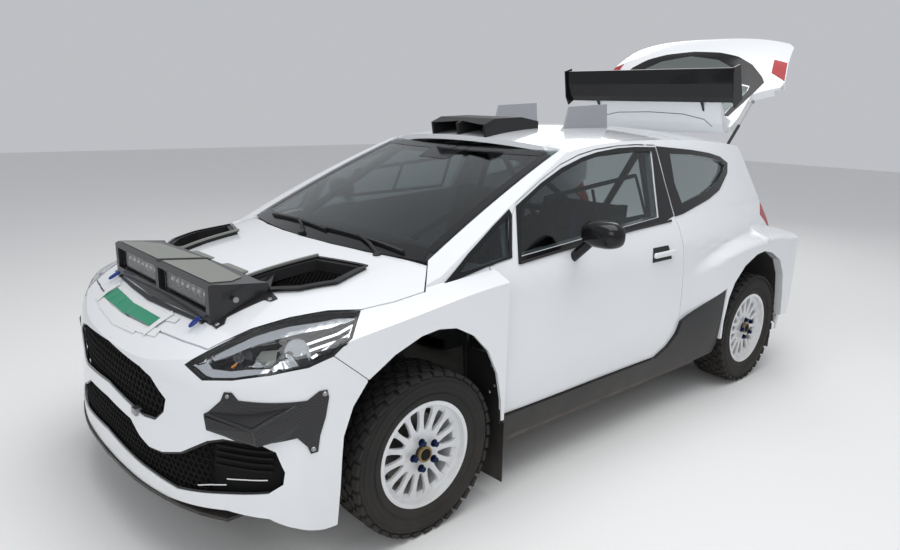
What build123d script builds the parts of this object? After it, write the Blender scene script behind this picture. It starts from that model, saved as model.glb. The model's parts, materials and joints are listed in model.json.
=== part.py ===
from build123d import *
import os
from math import atan, atan2, cos, degrees, hypot, pi, radians, sin, sqrt, tan

os.makedirs("parts", exist_ok=True)

# A three-door rally car with its tailgate open. +X is forward, +Y is left, +Z is up, in millimetres.
# The origin is on the ground, on the centre line, half way between the axles.

# Running gear
WHEELBASE = 2493.0
TYRE_RADIUS = 323.0
WHEEL_TRACK = 1606.0
DISC_RADIUS = 138.0
KINGPIN_OFFSET = 705.0
KINGPIN_LEAN = 12.0
STRUT_TOP = 900.0
WHEEL_SEAT = 0.3

# Panels
DOOR_WALL = 45.0
SKIN_WALL = 12.0
ROOF_WALL = 24.0
BONNET_WALL = 22.0
GLASS_WALL = 5.0
SHUT_GAP = 6.0
TRIM_SEAT = 0.3
CUT_PLANE = 560.0
DOOR_SLANT = 0.2
SKIN_ACCURACY = 1.5

# Overall places along the car
NOSE_X = 2076.0
TAIL_X = -1988.0
DOOR_FRONT = 846.0
SILL_HEIGHT = 345.0
FLARE_HALF = 906.0

# Moving ranges
TAILGATE_SWING = 108.0

FRONT_AXLE = WHEELBASE / 2
REAR_AXLE = -WHEELBASE / 2
WHEEL_Y = WHEEL_TRACK / 2

# Share of the wrap-around front face that is the nose
NOSE_SHARE = 0.62
# Flank half width at each height, columns: height, half width
FLANK = [(100, 826), (300, 850), (430, 861), (600, 862), (750, 857), (890, 843), (960, 821), (1030, 791),
         (1180, 731), (1290, 684), (1392, 638), (1480, 590), (1600, 520)]
# Bonnet height on the centre line, columns: place along the car, height
BONNET_LINE = [(700, 1040), (1000, 1022), (1150, 1004), (1300, 985), (1450, 965), (1600, 936), (1700, 908),
               (1800, 868), (1880, 828), (1950, 785), (2000, 740), (2100, 640)]
# Roof height on the centre line, columns: place along the car, height
ROOF_LINE = [(500, 1380), (400, 1405), (300, 1426), (150, 1447), (0, 1460), (-300, 1473), (-700, 1470),
             (-1100, 1450), (-1300, 1434), (-1500, 1408), (-1700, 1376)]
# Tail on the centre line, columns: height, place along the car
TAIL_LINE = [(300, -1868), (500, -1862), (700, -1850), (800, -1832), (900, -1800), (1000, -1728), (1100, -1673),
             (1200, -1618), (1300, -1562), (1412, -1500), (1550, -1420)]
# Front bumper in plan, columns: distance out from the centre line, place along the car
NOSE_PLAN = [(0, 0), (250, -10), (386, -28), (500, -54), (600, -84), (690, -128), (765, -178), (820, -230),
             (860, -290), (884, -350)]
# How far each height of the nose stands out, columns: height, distance
NOSE_PROFILE = [(150, -14), (190, 0), (262, 10), (430, 4), (500, -10), (600, -12), (670, -20), (740, -52),
                (800, -100), (860, -150)]
# Rear bumper in plan, columns: distance out from the centre line, distance ahead of the tail
TAIL_PLAN = [(0, 0), (300, 8), (500, 26), (640, 60), (740, 110), (810, 170), (850, 235), (872, 310)]


def along(table, place):
    """Smooth value of a two-column table at a place, straight beyond its ends."""
    xs = [row[0] for row in table]
    ys = [row[1] for row in table]
    if xs[0] > xs[-1]:
        xs.reverse()
        ys.reverse()
    last = len(xs) - 1
    slopes = [(ys[min(k + 1, last)] - ys[max(k - 1, 0)]) / (xs[min(k + 1, last)] - xs[max(k - 1, 0)])
              for k in range(last + 1)]
    if place <= xs[0]:
        return ys[0] + slopes[0] * (place - xs[0])
    if place >= xs[last]:
        return ys[last] + slopes[last] * (place - xs[last])
    k = max(i for i in range(last) if xs[i] <= place)
    span = xs[k + 1] - xs[k]
    t = (place - xs[k]) / span
    return ((2 * t**3 - 3 * t**2 + 1) * ys[k] + (t**3 - 2 * t**2 + t) * slopes[k] * span
            + (3 * t**2 - 2 * t**3) * ys[k + 1] + (t**3 - t**2) * slopes[k + 1] * span)


def flank(x, z):
    """Half width of the body side, without the wheel flares."""
    pull = 0.0
    if x < -500:
        pull += 95 * ((-x - 500) / 1140) ** 2.2
    if x > 700:
        pull += 30 * ((x - 700) / 500) ** 2
    return along(FLANK, z) - pull


def bonnet_height(x, y):
    """Height of the bonnet and of the tops of the front wings."""
    side = abs(y)
    return along(BONNET_LINE, x) - 20 * (side / 563) ** 2 - 60 * max(0.0, (side - 600) / 305) ** 1.7


def screen_foot(y):
    """Place of the windscreen's lower edge."""
    return 1087 + 110 * (1 - (y / 684) ** 2)


def screen_head(y):
    """Place of the windscreen's upper edge."""
    return 249 + 80 * (1 - (y / 591) ** 2)


def screen_height(x, y):
    """Height of the windscreen's outer face."""
    foot, head = screen_foot(y), screen_head(y)
    t = (foot - x) / (foot - head)
    return 993 + 384 * t + 56 * t * (1 - t)


def roof_height(x, y):
    """Height of the roof's outer face."""
    return along(ROOF_LINE, x) - 50 * (abs(y) / 591) ** 2.2


def tail_place(y, z):
    """Place along the car of the tailgate's outer face."""
    return along(TAIL_LINE, z) + 104 * (abs(y) / 700) ** 3


def nose_place(y, z):
    """Place along the car of the front bumper's face."""
    return NOSE_X + along(NOSE_PLAN, abs(y)) + along(NOSE_PROFILE, z) * (1 - 0.55 * (y / 900) ** 2)


def wrap_point(u, z):
    """Point of the front face, which wraps round the nose from the right wing, u of -1, to the left, u of 1."""
    side = 1 if u >= 0 else -1
    run = abs(u)
    draft = max(0.0, 430 - z) * 0.02
    if run <= NOSE_SHARE:
        y = 884 * sin(run / NOSE_SHARE * pi / 2)
        x = nose_place(y, z)
        draft *= run / NOSE_SHARE
    else:
        t = (run - NOSE_SHARE) / (1 - NOSE_SHARE)
        start = nose_place(884, z)
        y = 884 + (FLARE_HALF - 884) * (1 - (1 - min(1.0, t * 3.2)) ** 2)
        x = start + (DOOR_FRONT - 20 - start) * t
    return (x, side * (y - draft), z)


def skin(first, second, counts, place):
    """One smooth face through place(u, v) on a regular grid."""
    nu, nv = counts
    us = [first[0] + (first[1] - first[0]) * i / nu for i in range(nu + 1)]
    vs = [second[0] + (second[1] - second[0]) * j / nv for j in range(nv + 1)]
    return Face.make_surface_from_array_of_points(
        [[Vector(*place(u, v)) for v in vs] for u in us], tol=SKIN_ACCURACY, min_deg=3, max_deg=3)


def swept(face, amount, way):
    """The solid that a face sweeps over a distance, for use as a wall or a cutter."""
    return Solid.extrude(face, Vector(*way) * amount)


def polygon(points):
    return Face(Wire.make_polygon(points, close=True))


# Every panel and trim is measured from these faces, so that they meet exactly
wrap_face = skin((-1, 1), (170, 960), (72, 18), wrap_point)
flank_face = skin((-2150, 1700), (60, 1590), (30, 22), lambda x, z: (x, flank(x, z), z))
bonnet_face = skin((700, 2200), (-1000, 1000), (20, 24), lambda x, y: (x, y, bonnet_height(x, y)))
roof_face = skin((-1900, 600), (-800, 800), (16, 14), lambda x, y: (x, y, roof_height(x, y)))
screen_face = skin((-100, 1420), (-800, 800), (14, 14), lambda x, y: (x, y, screen_height(x, y)))
tail_face = skin((-1000, 1000), (250, 1560), (18, 18), lambda y, z: (tail_place(y, z), y, z))


def beyond_side(inset=0.0):
    """Everything outside the left flank, set in by a distance."""
    return swept(flank_face.moved(Location((0, -inset, 0))), 600, (0, 1, 0))


def above(face, drop=0.0):
    """Everything above a face that is lowered by a distance."""
    return swept(face.moved(Location((0, 0, -drop))), 700, (0, 0, 1))


def sheet(face, start, wall, way):
    """A panel that starts a distance below its outer face."""
    return swept(face.moved(Location(tuple(Vector(*way) * start))), wall, way)


def around_nose(start, end):
    """The shell between two distances outside the front face."""
    if start == 0:
        return Solid.thicken(wrap_face, end)
    return Solid.thicken(wrap_face, end) - Solid.thicken(wrap_face, start)


def behind_tail(inset=0.0):
    return swept(tail_face.moved(Location((inset, 0, 0))), 900, (-1, 0, 0))


def side_prism(points, near, far, slant=0.0):
    """A prism on a side-view outline, from one distance off the centre line to another."""
    side = 1 if far > 0 else -1
    return swept(polygon([(x, near, z) for x, z in points]), abs(far - near), (-slant, side, 0))


def plan_prism(points, low, high):
    """A prism on a plan outline, from one height to another."""
    return swept(polygon([(x, y, low) for x, y in points]), high - low, (0, 0, 1))


def front_prism(points, near, far):
    """A prism on a front-view outline, from one place along the car to another."""
    return swept(polygon([(near, y, z) for y, z in points]), far - near, (1, 0, 0))


def cut(*tools):
    """Take tools away from the part in hand, with its faces left as they are."""
    for tool in tools:
        add(tool, mode=Mode.SUBTRACT, clean=False)


def keep(tool):
    """Keep only what lies inside a tool."""
    add(tool, mode=Mode.INTERSECT, clean=False)


def mirrored(shape):
    """The same shape on the other side of the car."""
    return shape.mirror(Plane.XZ)


def arch_points(axle, heights, grow=0.0):
    """Side-view outline of a wheel arch from rows of place from the axle and height."""
    return [(axle + dx * (1 + grow / 420), z + (grow if z > 400 else 0)) for dx, z in heights]


# Front arch opening, columns: place from the axle, height
FRONT_ARCH = [(390, 120), (388, 195), (376, 330), (370, 432), (362, 512), (325, 610), (266, 686), (156, 752),
              (40, 794), (-40, 803), (-122, 791), (-213, 743), (-292, 663), (-345, 560), (-372, 440), (-384, 300),
              (-388, 120)]
# Rear arch opening, columns: place from the axle, height
REAR_ARCH = [(330, 120), (330, 430), (298, 560), (250, 640), (150, 723), (20, 773), (-74, 782), (-176, 761),
             (-302, 699), (-370, 600), (-400, 470), (-420, 330), (-430, 120)]
# Door outline on the skin, columns: place along the car, height
DOOR_OUTLINE = [(DOOR_FRONT, SILL_HEIGHT), (DOOR_FRONT, 860), (862, 905), (872, 966), (742, 982), (684, 1140),
                (644, 1187), (460, 1266), (307, 1322), (160, 1358), (28, 1378), (-150, 1391), (-306, 1394),
                (-470, 1388), (-466, 1214), (-475, 1045), (-492, 1000), (-500, 760), (-496, 500), (-470, 440),
                (-400, 385), (-300, SILL_HEIGHT)]
# Door window, columns: place along the car, height
DOOR_WINDOW = [(695, 985), (622, 1172), (470, 1238), (308, 1292), (150, 1332), (38, 1350), (-140, 1363),
               (-288, 1366), (-424, 1362), (-380, 1218), (-336, 1050)]
# Fixed light ahead of the door, columns: place along the car, height
FRONT_LIGHT = [(1040, 955), (985, 1003), (820, 1092), (700, 1150), (756, 985)]
# Rear side window, columns: place along the car, height
QUARTER_WINDOW = [(-583, 1346), (-815, 1334), (-1000, 1312), (-1120, 1290), (-1185, 1262), (-1130, 1220),
                  (-1000, 1160), (-859, 1126), (-579, 1080), (-552, 1200)]


def on_cut(points):
    """Skin outline points moved along the slanted cutting direction on to the plane where the cut starts."""
    return [(x + DOOR_SLANT * (flank(x, z) - CUT_PLANE), z) for x, z in points]


def grown(points, gap):
    """A closed outline moved outwards by a gap, corner by corner."""
    area = sum(a[0] * b[1] - b[0] * a[1] for a, b in zip(points, points[1:] + points[:1]))
    out = gap if area > 0 else -gap
    moved = []
    for k, here in enumerate(points):
        before, after = points[k - 1], points[(k + 1) % len(points)]
        ax, az = here[0] - before[0], here[1] - before[1]
        bx, bz = after[0] - here[0], after[1] - here[1]
        la, lb = hypot(ax, az), hypot(bx, bz)
        nx, nz = az / la + bz / lb, -ax / la - bx / lb
        scale = out / (1 + (ax * bx + az * bz) / (la * lb))
        moved.append((here[0] + nx * scale, here[1] + nz * scale))
    return moved


def band(points, width):
    """Closed outline of a bent sheet, from its middle line and its thickness."""
    sides = [[], []]
    for k, here in enumerate(points):
        before, after = points[max(k - 1, 0)], points[min(k + 1, len(points) - 1)]
        ways = [(b[0] - a[0], b[1] - a[1]) for a, b in ((before, here), (here, after)) if a != b]
        units = [(x / hypot(x, z), z / hypot(x, z)) for x, z in ways]
        nx = -sum(u[1] for u in units) / len(units)
        nz = sum(u[0] for u in units) / len(units)
        size = nx * nx + nz * nz
        for side, sign in zip(sides, (1, -1)):
            side.append((here[0] + sign * nx / size * width / 2, here[1] + sign * nz / size * width / 2))
    return sides[0] + sides[1][::-1]


def rod(start, end, radius):
    """A round bar between two points."""
    way = Vector(*end) - Vector(*start)
    return Solid.make_cylinder(radius, way.length, Plane(origin=start, z_dir=way.normalized()))


def block(low, high):
    """A block from its lowest to its highest corner."""
    return Solid.make_box(high[0] - low[0], high[1] - low[1], high[2] - low[2], Plane(origin=low))


def write(part, name):
    part.label = name
    export_step(part, f"parts/{name}.step")


# Body sides: one pressing each, from the windscreen pillar to the tail lamp, with the rear flare in it
def flared(x, z):
    """Half width of the body side with the rear flare."""
    dx = x - REAR_AXLE
    top = 856 - 0.00022 * (dx + 90) ** 2 if dx > -90 else 872 - 0.06 * abs(dx + 90)
    shelf = min(1.0, max(0.0, (top + 34 - z) / 62))
    run = min(1.0, max(0.0, (720 - dx) / 380))
    low = min(1.0, max(0.0, (dx + 700) / 60))
    blend = shelf**2 * (3 - 2 * shelf) * run**2 * (3 - 2 * run) * low
    base = flank(x, z)
    return base + blend * max(0.0, FLARE_HALF - 4 - base)


def flared_face(side, inset=0.0):
    return skin((-1850, -430), (150, 1130), (48, 40), lambda x, z: (x, side * (flared(x, z) - inset), z))


# Tail lamp outline in side view, columns: place along the car, height
TAIL_LAMP_OUTLINE = [(-1540, 959), (-1603, 1024), (-1800, 1000), (-1800, 866), (-1672, 866)]
# Tailgate outline seen from behind, columns: distance out, height
TAILGATE_OUTLINE = [(0, 1440), (430, 1440), (512, 1395), (530, 1300), (532, 1130), (600, 1075), (660, 1030),
                    (672, 985), (640, 860), (600, 700), (560, 668), (0, 668)]
# Sill outline in side view, columns: place along the car, height
SILL_OUTLINE = [(846, 236), (846, 339), (-300, 339), (-400, 378), (-474, 434), (-505, 500), (-918, 622),
                (-912, 560), (-900, 430), (-898, 300), (-870, 250), (-640, 236)]
# Gas struts: the cylinder turns on the body, the rod's eye meets a stud on the tailgate
STRUT_Y = 549.0
STRUT_FOOT = (-1340.0, STRUT_Y, 1300.0)
STRUT_EYE_SHUT = (-1570.0, STRUT_Y, 1150.0)
door_hole = on_cut(grown(DOOR_OUTLINE, SHUT_GAP))
PILLAR_WALL = 118.0
# Side-view outline of the body side without its openings, columns: place along the car, height
SIDE_OUTLINE = [(1206, 880), (1206, 1060), (300, 1480), (-400, 1520), (-1440, 1480), (-1520, 1300),
                (-1640, 1010), (-1660, 880), (-1720, 868), (-1766, 838), (-1770, 441), (-1745, 330), (-1580, 330),
                (-480, 330), (-480, 880)]
PILLAR_OUTLINE = [(1206, 880), (1206, 1060), (240, 1500), (200, 1380), (470, 1262), (644, 1180), (742, 975),
                  (866, 960), (880, 880)]

roof_cutter = above(roof_face)
screen_cutter = above(screen_face)
tail_cutter = behind_tail()
upper_tail_cutter = tail_cutter & block((-2600, -1100, 866), (-1000, 1100, 1700))
glass_pocket = plan_prism([(1100, 690), (226, 598), (226, 0), (1250, 0), (1250, 690)], 800, 1700)
pocket_top = above(screen_face, GLASS_WALL + 8)
side_outline = side_prism(SIDE_OUTLINE, 400, 1100)
pillar_outline = side_prism(PILLAR_OUTLINE, 400, 1100)
rear_arch = side_prism(arch_points(REAR_AXLE, REAR_ARCH), 400, 1100)
quarter_hole = side_prism(QUARTER_WINDOW, 400, 1100)
front_light_hole = side_prism(FRONT_LIGHT, 400, 1100)
door_cutter = side_prism(door_hole, CUT_PLANE, CUT_PLANE + 440, DOOR_SLANT)
flank_wall = sheet(flank_face, 0, DOOR_WALL, (0, -1, 0))
flare_wall = swept(flared_face(1), DOOR_WALL, (0, -1, 0))
pillar_wall = sheet(flank_face, 0, PILLAR_WALL, (0, -1, 0))
# The flared wall takes over from the plain one behind this place and below this height
FLARE_FRONT = -440
FLARE_TOP = 1050
rear_half = block((-1900, 400, 100), (FLARE_FRONT, 1100, FLARE_TOP))
front_half = side_prism([(FLARE_FRONT, 100), (1400, 100), (1400, 1600), (-1900, 1600), (-1900, FLARE_TOP),
                         (FLARE_FRONT, FLARE_TOP)], 400, 1100)

# The bonnet's rear corner runs on this diagonal in plan, columns: place along the car, distance out
CORNER_LINE = [(1057, 664), (1210, 828)]
corner_cutter = plan_prism(CORNER_LINE + [(1400, 1000), (1400, 300), (1057, 300)], 700, 1200)

# What the strut's foot turns on is left standing in the channel
foot_stud = rod((STRUT_FOOT[0], STRUT_Y + 9.8, STRUT_FOOT[2]), (STRUT_FOOT[0], 600, STRUT_FOOT[2]), 7)

with BuildPart() as front_wall:
    add(flank_wall)
    keep(front_half)
with BuildPart() as rear_wall:
    add(flare_wall)
    keep(rear_half)
with BuildPart() as pillar:
    add(pillar_wall)
    keep(pillar_outline)
    cut(screen_cutter, roof_cutter)
    cut(glass_pocket & pocket_top)
with BuildPart() as body_side:
    add(front_wall.part)
    add(rear_wall.part, clean=False)
    keep(side_outline)
    cut(screen_cutter, roof_cutter, upper_tail_cutter)
    add(pillar.part, clean=False)
    cut(door_cutter, quarter_hole, front_light_hole, rear_arch, corner_cutter)
    cut(side_prism(grown(SILL_OUTLINE, TRIM_SEAT), 600, 1100))
    cut(side_prism(grown(TAIL_LAMP_OUTLINE, TRIM_SEAT), 500, 1100))
    cut(front_prism(grown(TAILGATE_OUTLINE, SHUT_GAP), -2100, -1470))
    cut(block((-1530, 480, 1285), (STRUT_FOOT[0] + 16, STRUT_Y + 16, 1460)) - foot_stud)

with BuildPart() as sides:
    add(body_side.part)
    add(mirrored(body_side.part), clean=False)
write(sides.part, "body_sides")

# Roof sheet between the body sides, with a seam down each side
ROOF_SEAM = 1.5
roof_sheet = sheet(roof_face, 0, ROOF_WALL, (0, 0, -1))
roof_plan = plan_prism([(screen_head(y) - 12 if abs(y) < 600 else 240, y) for y in range(-640, 641, 80)]
                       + [(-1350, 640), (-1350, 530), (-1436, 530), (-1436, -530), (-1350, -530), (-1350, -640)],
                       1000, 1600)
inside_left = beyond_side(DOOR_WALL + ROOF_SEAM)
pillar_grown = sheet(flank_face, -ROOF_SEAM, PILLAR_WALL + 2 * ROOF_SEAM, (0, -1, 0)) & side_prism(
    grown(PILLAR_OUTLINE, ROOF_SEAM), 400, 1100)
with BuildPart() as roof:
    add(roof_sheet)
    keep(roof_plan)
    cut(inside_left, mirrored(inside_left), pillar_grown, mirrored(pillar_grown))
write(roof.part, "roof")

# Windscreen, lying in the pocket of the pillars and the roof's front edge
screen_sheet = sheet(screen_face, 3, GLASS_WALL, (0, 0, -1))
screen_rows = [-660, -560, -420, -220, 0, 220, 420, 560, 660]
screen_plan = plan_prism([(screen_foot(y) - 14, y * 683 / 660) for y in screen_rows]
                         + [(screen_head(y) + 6, y * 590 / 660) for y in reversed(screen_rows)], 800, 1600)
with BuildPart() as windscreen:
    add(screen_sheet)
    keep(screen_plan)

# Fixed side glass: front lights and quarter windows
side_glass_sheet = sheet(flank_face, 8, GLASS_WALL, (0, -1, 0))
panes = []
for outline in (FRONT_LIGHT, QUARTER_WINDOW):
    pane = side_glass_sheet & side_prism(grown(outline, -TRIM_SEAT), 400, 1100)
    panes += [pane, mirrored(pane)]
with BuildPart() as fixed_glass:
    add(windscreen.part)
    for pane in panes:
        add(pane, clean=False)
write(fixed_glass.part, "fixed_glass")

# Doors, cut from the flank on a slant so that the rear edge swings clear of the body
door_block = side_prism(on_cut(DOOR_OUTLINE), CUT_PLANE, CUT_PLANE + 440, DOOR_SLANT)
window_block = side_prism(DOOR_WINDOW, 400, 1100)
with BuildPart() as door:
    add(flank_wall)
    keep(door_block)
    cut(roof_cutter, window_block)
door_pane = side_glass_sheet & side_prism(grown(DOOR_WINDOW, -TRIM_SEAT), 400, 1100)
for name, shape in (("door_left", door.part), ("door_right", mirrored(door.part)),
                    ("door_glass_left", door_pane), ("door_glass_right", mirrored(door_pane))):
    with BuildPart() as panel:
        add(shape)
    write(panel.part, name)



# Front end: wings, bumper, bonnet and headlamps share the wrap-around face and the bonnet's height
# Headlamp outline, columns: place along the car, distance out, height
LAMP_OUTLINE = [(1972, 529, 738), (1957, 624, 709), (1900, 722, 725), (1817, 813, 749), (1717, 873, 769),
                (1639, 893, 795), (1560, 885, 835), (1469, 800, 893), (1562, 743, 893), (1676, 691, 878),
                (1787, 637, 847), (1901, 588, 794)]
LAMP_VIEW = Plane(origin=(1750, 760, 800), z_dir=(0.62, 0.66, 0.42))
# Bonnet edge from the centre line round to the windscreen, columns: place along the car, distance out
BONNET_EDGE = [(1962, 0), (1953, 214), (1930, 431), (1908, 572), (1787, 637), (1676, 691), (1562, 743),
               (1469, 792), (1340, 812), (1206, 816), (1084, 686), (1125, 560), (1170, 400), (1200, 200),
               (1210, 0)]
WING_SEAM = [(1640, 800), (1512, 690)]


def lamp_prism(grow):
    flat = [LAMP_VIEW.to_local_coords(Vector(*p)) for p in LAMP_OUTLINE]
    outline = grown([(p.X, p.Y) for p in flat], grow)
    low = [LAMP_VIEW.from_local_coords(Vector(a, b, -420)) for a, b in outline]
    return swept(polygon(low), 700, tuple(LAMP_VIEW.z_dir))


def both_ways(points):
    """A plan outline from the centre line, closed round the other side."""
    return points + [(x, -y) for x, y in reversed(points) if y > 0]


wrap_outside = around_nose(0, 260)
bonnet_cutter = above(bonnet_face)
wrap_wall = around_nose(0, -SKIN_WALL)
nose_plan = plan_prism([(NOSE_X + 14 + along(NOSE_PLAN, abs(y)), y) for y in range(-880, 881, 80)]
                       + [(1500, 935), (700, 935), (700, -935), (1500, -935)], 300, 1200)
top_sheet = sheet(bonnet_face, 0, SKIN_WALL, (0, 0, -1)) & nose_plan
front_arch = side_prism(arch_points(FRONT_AXLE, FRONT_ARCH), 500, 1100)
lamp_hole = lamp_prism(TRIM_SEAT / 2)
lamp_gap = lamp_prism(SHUT_GAP)
bonnet_plan_gap = plan_prism(grown(both_ways(BONNET_EDGE), SHUT_GAP), 500, 1300)
wing_side = side_prism([(DOOR_FRONT + 6, 352), (DOOR_FRONT + 6, 1100), (1640, 1100), WING_SEAM[0],
                        WING_SEAM[1], (1420, 600), (1300, 352)], 500, 1100)
flank_cutter = side_prism([(600, 0), (1206, 0), (1206, 1500), (600, 1500)], 300, 1100) - beyond_side(-1.5)
wing_end = side_prism([(DOOR_FRONT + 6, 352), (DOOR_FRONT + 6, 960), (DOOR_FRONT + 18, 960),
                       (DOOR_FRONT + 18, 352)], 780, 1000)

with BuildPart() as wing:
    add(wrap_wall)
    keep(wing_side)
    cut(bonnet_cutter)
with BuildPart() as wing_top:
    add(top_sheet)
    keep(wing_side)
    cut(wrap_outside, bonnet_plan_gap, flank_cutter)
with BuildPart() as wing_plate:
    add(wing_end)
    cut(wrap_outside, bonnet_cutter, flank_cutter)
with BuildPart() as wings:
    add(wing.part)
    add(wing_top.part, clean=False)
    add(wing_plate.part, clean=False)
    cut(front_arch, lamp_hole)
    add(mirrored(wings.part), clean=False)
write(wings.part, "front_wings")

# Front bumper with its grille and intake openings
# Openings seen from ahead, columns: distance out, height
GRILLE_OUTLINE = [(0, 694), (300, 680), (382, 664), (470, 610), (452, 559), (399, 514), (322, 504), (0, 530)]
INTAKE_OUTLINE = [(0, 478), (233, 468), (311, 431), (375, 413), (450, 418), (545, 447), (649, 512), (702, 530),
                  (800, 528), (836, 500), (853, 430), (850, 388), (822, 357), (717, 342), (518, 306), (392, 318),
                  (0, 345)]
BUMPER_FOOT = [(0, 262), (472, 258), (714, 284), (821, 268), (866, 222), (886, 194), (1000, 194), (1000, 0),
               (0, 0)]


def mirrored_outline(points):
    return points + [(-y, z) for y, z in reversed(points) if y > 0]


bumper_side = [(WING_SEAM[0][0] + 4, 1100), (WING_SEAM[0][0] + 4, WING_SEAM[0][1]),
               (WING_SEAM[1][0] + 4, WING_SEAM[1][1]), (1500, 0), (2300, 0), (2300, 1100)]
bumper_keep = side_prism(bumper_side, -1100, 1100)
grille_hole = front_prism(mirrored_outline(GRILLE_OUTLINE), 1700, 2300)
intake_hole = front_prism(mirrored_outline(INTAKE_OUTLINE), 1600, 2300)
foot_cutter = front_prism(mirrored_outline(BUMPER_FOOT), 1300, 2300)
with BuildPart() as bumper_top:
    add(top_sheet)
    keep(bumper_keep)
    cut(wrap_outside, bonnet_plan_gap)
with BuildPart() as front_bumper:
    add(wrap_wall)
    keep(bumper_keep)
    cut(bonnet_cutter)
    add(bumper_top.part, clean=False)
    cut(front_arch, mirrored(front_arch), lamp_hole, mirrored(lamp_hole))
    cut(grille_hole, intake_hole, foot_cutter)
write(front_bumper.part, "front_bumper")

# Bonnet with its two side vents
# Vent outline in plan, columns: place along the car, distance out
VENT_OUTLINE = [(1640, 318), (1360, 352), (1340, 420), (1290, 560), (1440, 604), (1556, 552), (1644, 448)]
vent_hole = plan_prism(VENT_OUTLINE, 500, 1300)
bonnet_plan = plan_prism(both_ways(BONNET_EDGE), 500, 1300)
bonnet_sheet = sheet(bonnet_face, 0, BONNET_WALL, (0, 0, -1))
with BuildPart() as bonnet:
    add(bonnet_sheet)
    keep(bonnet_plan)
    cut(lamp_gap, mirrored(lamp_gap), vent_hole, mirrored(vent_hole), wrap_outside)
write(bonnet.part, "bonnet")

# Headlamps: a lens block that fills the opening between bonnet, wing and bumper
LAMP_DEPTH = 60
lamp_block = lamp_prism(-TRIM_SEAT / 2)
with BuildPart() as lamp_face:
    add(around_nose(0, -LAMP_DEPTH))
    keep(lamp_block)
    cut(bonnet_cutter)
with BuildPart() as lamp_crown:
    add(sheet(bonnet_face, 0, LAMP_DEPTH, (0, 0, -1)))
    keep(nose_plan)
    keep(lamp_block)
    cut(wrap_outside)
with BuildPart() as headlamps:
    add(lamp_face.part)
    add(lamp_crown.part, clean=False)
    add(mirrored(headlamps.part), clean=False)
write(headlamps.part, "headlamps")

# Tailgate, modelled shut and then turned open about the hinge line at the roof's rear edge
HINGE_X = -1446.0
HINGE_Z = 1424.0
TAILGATE_WALL = 46.0
# Rear window seen from behind, columns: distance out, height
TAILGATE_GLASS = [(0, 1330), (380, 1318), (440, 1290), (495, 1120), (490, 1085), (0, 1070)]


def opened(shape):
    """A tailgate piece turned from shut to open."""
    return shape.rotate(Axis((HINGE_X, 0, HINGE_Z), (0, 1, 0)), TAILGATE_SWING)


tail_sheet = sheet(tail_face, 0, TAILGATE_WALL, (1, 0, 0))
tailgate_keep = front_prism(mirrored_outline(TAILGATE_OUTLINE), -2100, -1300)
tailgate_window = front_prism(mirrored_outline(TAILGATE_GLASS), -2100, -1300)
ahead_of_hinge = block((HINGE_X - 2, -800, 1300), (-1200, 800, 1600))
# The corners below the window are thinner, so that they swing past the body's edge
corner_relief = sheet(tail_face, 15, TAILGATE_WALL, (1, 0, 0)) & block((-1720, 636, 992), (-1540, 700, 1062))
pane_outline = grown(mirrored_outline(TAILGATE_GLASS), -TRIM_SEAT)
tail_pane = sheet(tail_face, 6, GLASS_WALL, (1, 0, 0)) & front_prism(pane_outline, -2100, -1300)
# Lamps that carry on across the tailgate, columns: distance out, height
TAILGATE_LAMP = [(668, 984), (640, 880), (560, 884), (578, 962)]
lamp_pocket = behind_tail(18) & front_prism(TAILGATE_LAMP, -2100, -1300)
lamp_outline = grown(TAILGATE_LAMP, -TRIM_SEAT)
lamp_slab = (behind_tail(18 - TRIM_SEAT) - behind_tail(-4)) & front_prism(lamp_outline, -2100, -1300)
spoiler_base = side_prism([(-1452, 1424), (-1520, 1438), (-1690, 1450), (-1690, 1440), (-1560, 1404),
                           (-1510, 1340), (-1466, 1340)], -500, 500)
with BuildPart() as tailgate_shut:
    add(tail_sheet)
    keep(tailgate_keep)
    cut(tailgate_window, roof_cutter)
    add(spoiler_base, clean=False)
    cut(ahead_of_hinge, lamp_pocket, mirrored(lamp_pocket))
    cut(corner_relief, mirrored(corner_relief))
    for side in (1, -1):
        add(rod((STRUT_EYE_SHUT[0], side * 520, STRUT_EYE_SHUT[2]),
                (STRUT_EYE_SHUT[0], side * (STRUT_Y - 7.3), STRUT_EYE_SHUT[2]), 6), clean=False)
with BuildPart() as tailgate:
    add(opened(tailgate_shut.part))
write(tailgate.part, "tailgate")
with BuildPart() as tailgate_glass:
    add(opened(tail_pane))
write(tailgate_glass.part, "tailgate_glass")

with BuildPart() as tailgate_lamps:
    add(opened(lamp_slab))
    add(opened(mirrored(lamp_slab)), clean=False)
write(tailgate_lamps.part, "tailgate_lamps")

# Rear wing: a broad blade with end plates, on two feet that stand on the spoiler base
WING_HALF = 609.0
WING_END = 8.0
# Blade and end plate in side view when the tailgate is shut, columns: place along the car, height
WING_BLADE = [(-1664, 1474), (-1700, 1488), (-1780, 1488), (-1866, 1472), (-1866, 1464), (-1780, 1472),
              (-1700, 1470), (-1672, 1462)]
WING_PLATE = [(-1642, 1500), (-1700, 1516), (-1874, 1490), (-1872, 1418), (-1664, 1408)]
with BuildPart() as wing_shut:
    add(side_prism(WING_BLADE, -WING_HALF, WING_HALF))
    wing_plate_left = side_prism(WING_PLATE, WING_HALF, WING_HALF + WING_END)
    wing_foot_left = side_prism([(-1600, 1444.5), (-1688, 1450.7), (-1760, 1480), (-1700, 1480)], 380, 392)
    for piece in (wing_plate_left, wing_foot_left):
        add(piece, clean=False)
        add(mirrored(piece), clean=False)
with BuildPart() as rear_wing:
    add(opened(wing_shut.part))
write(rear_wing.part, "rear_wing")

# Rear bumper: a wrap-around face below the tailgate
# How far each height of the rear bumper lies ahead of its rearmost point, columns: height, distance
REAR_PROFILE = [(200, 60), (260, 22), (380, 4), (520, 0), (640, 10), (700, 34), (760, 80), (820, 165),
                (870, 250)]


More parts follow.
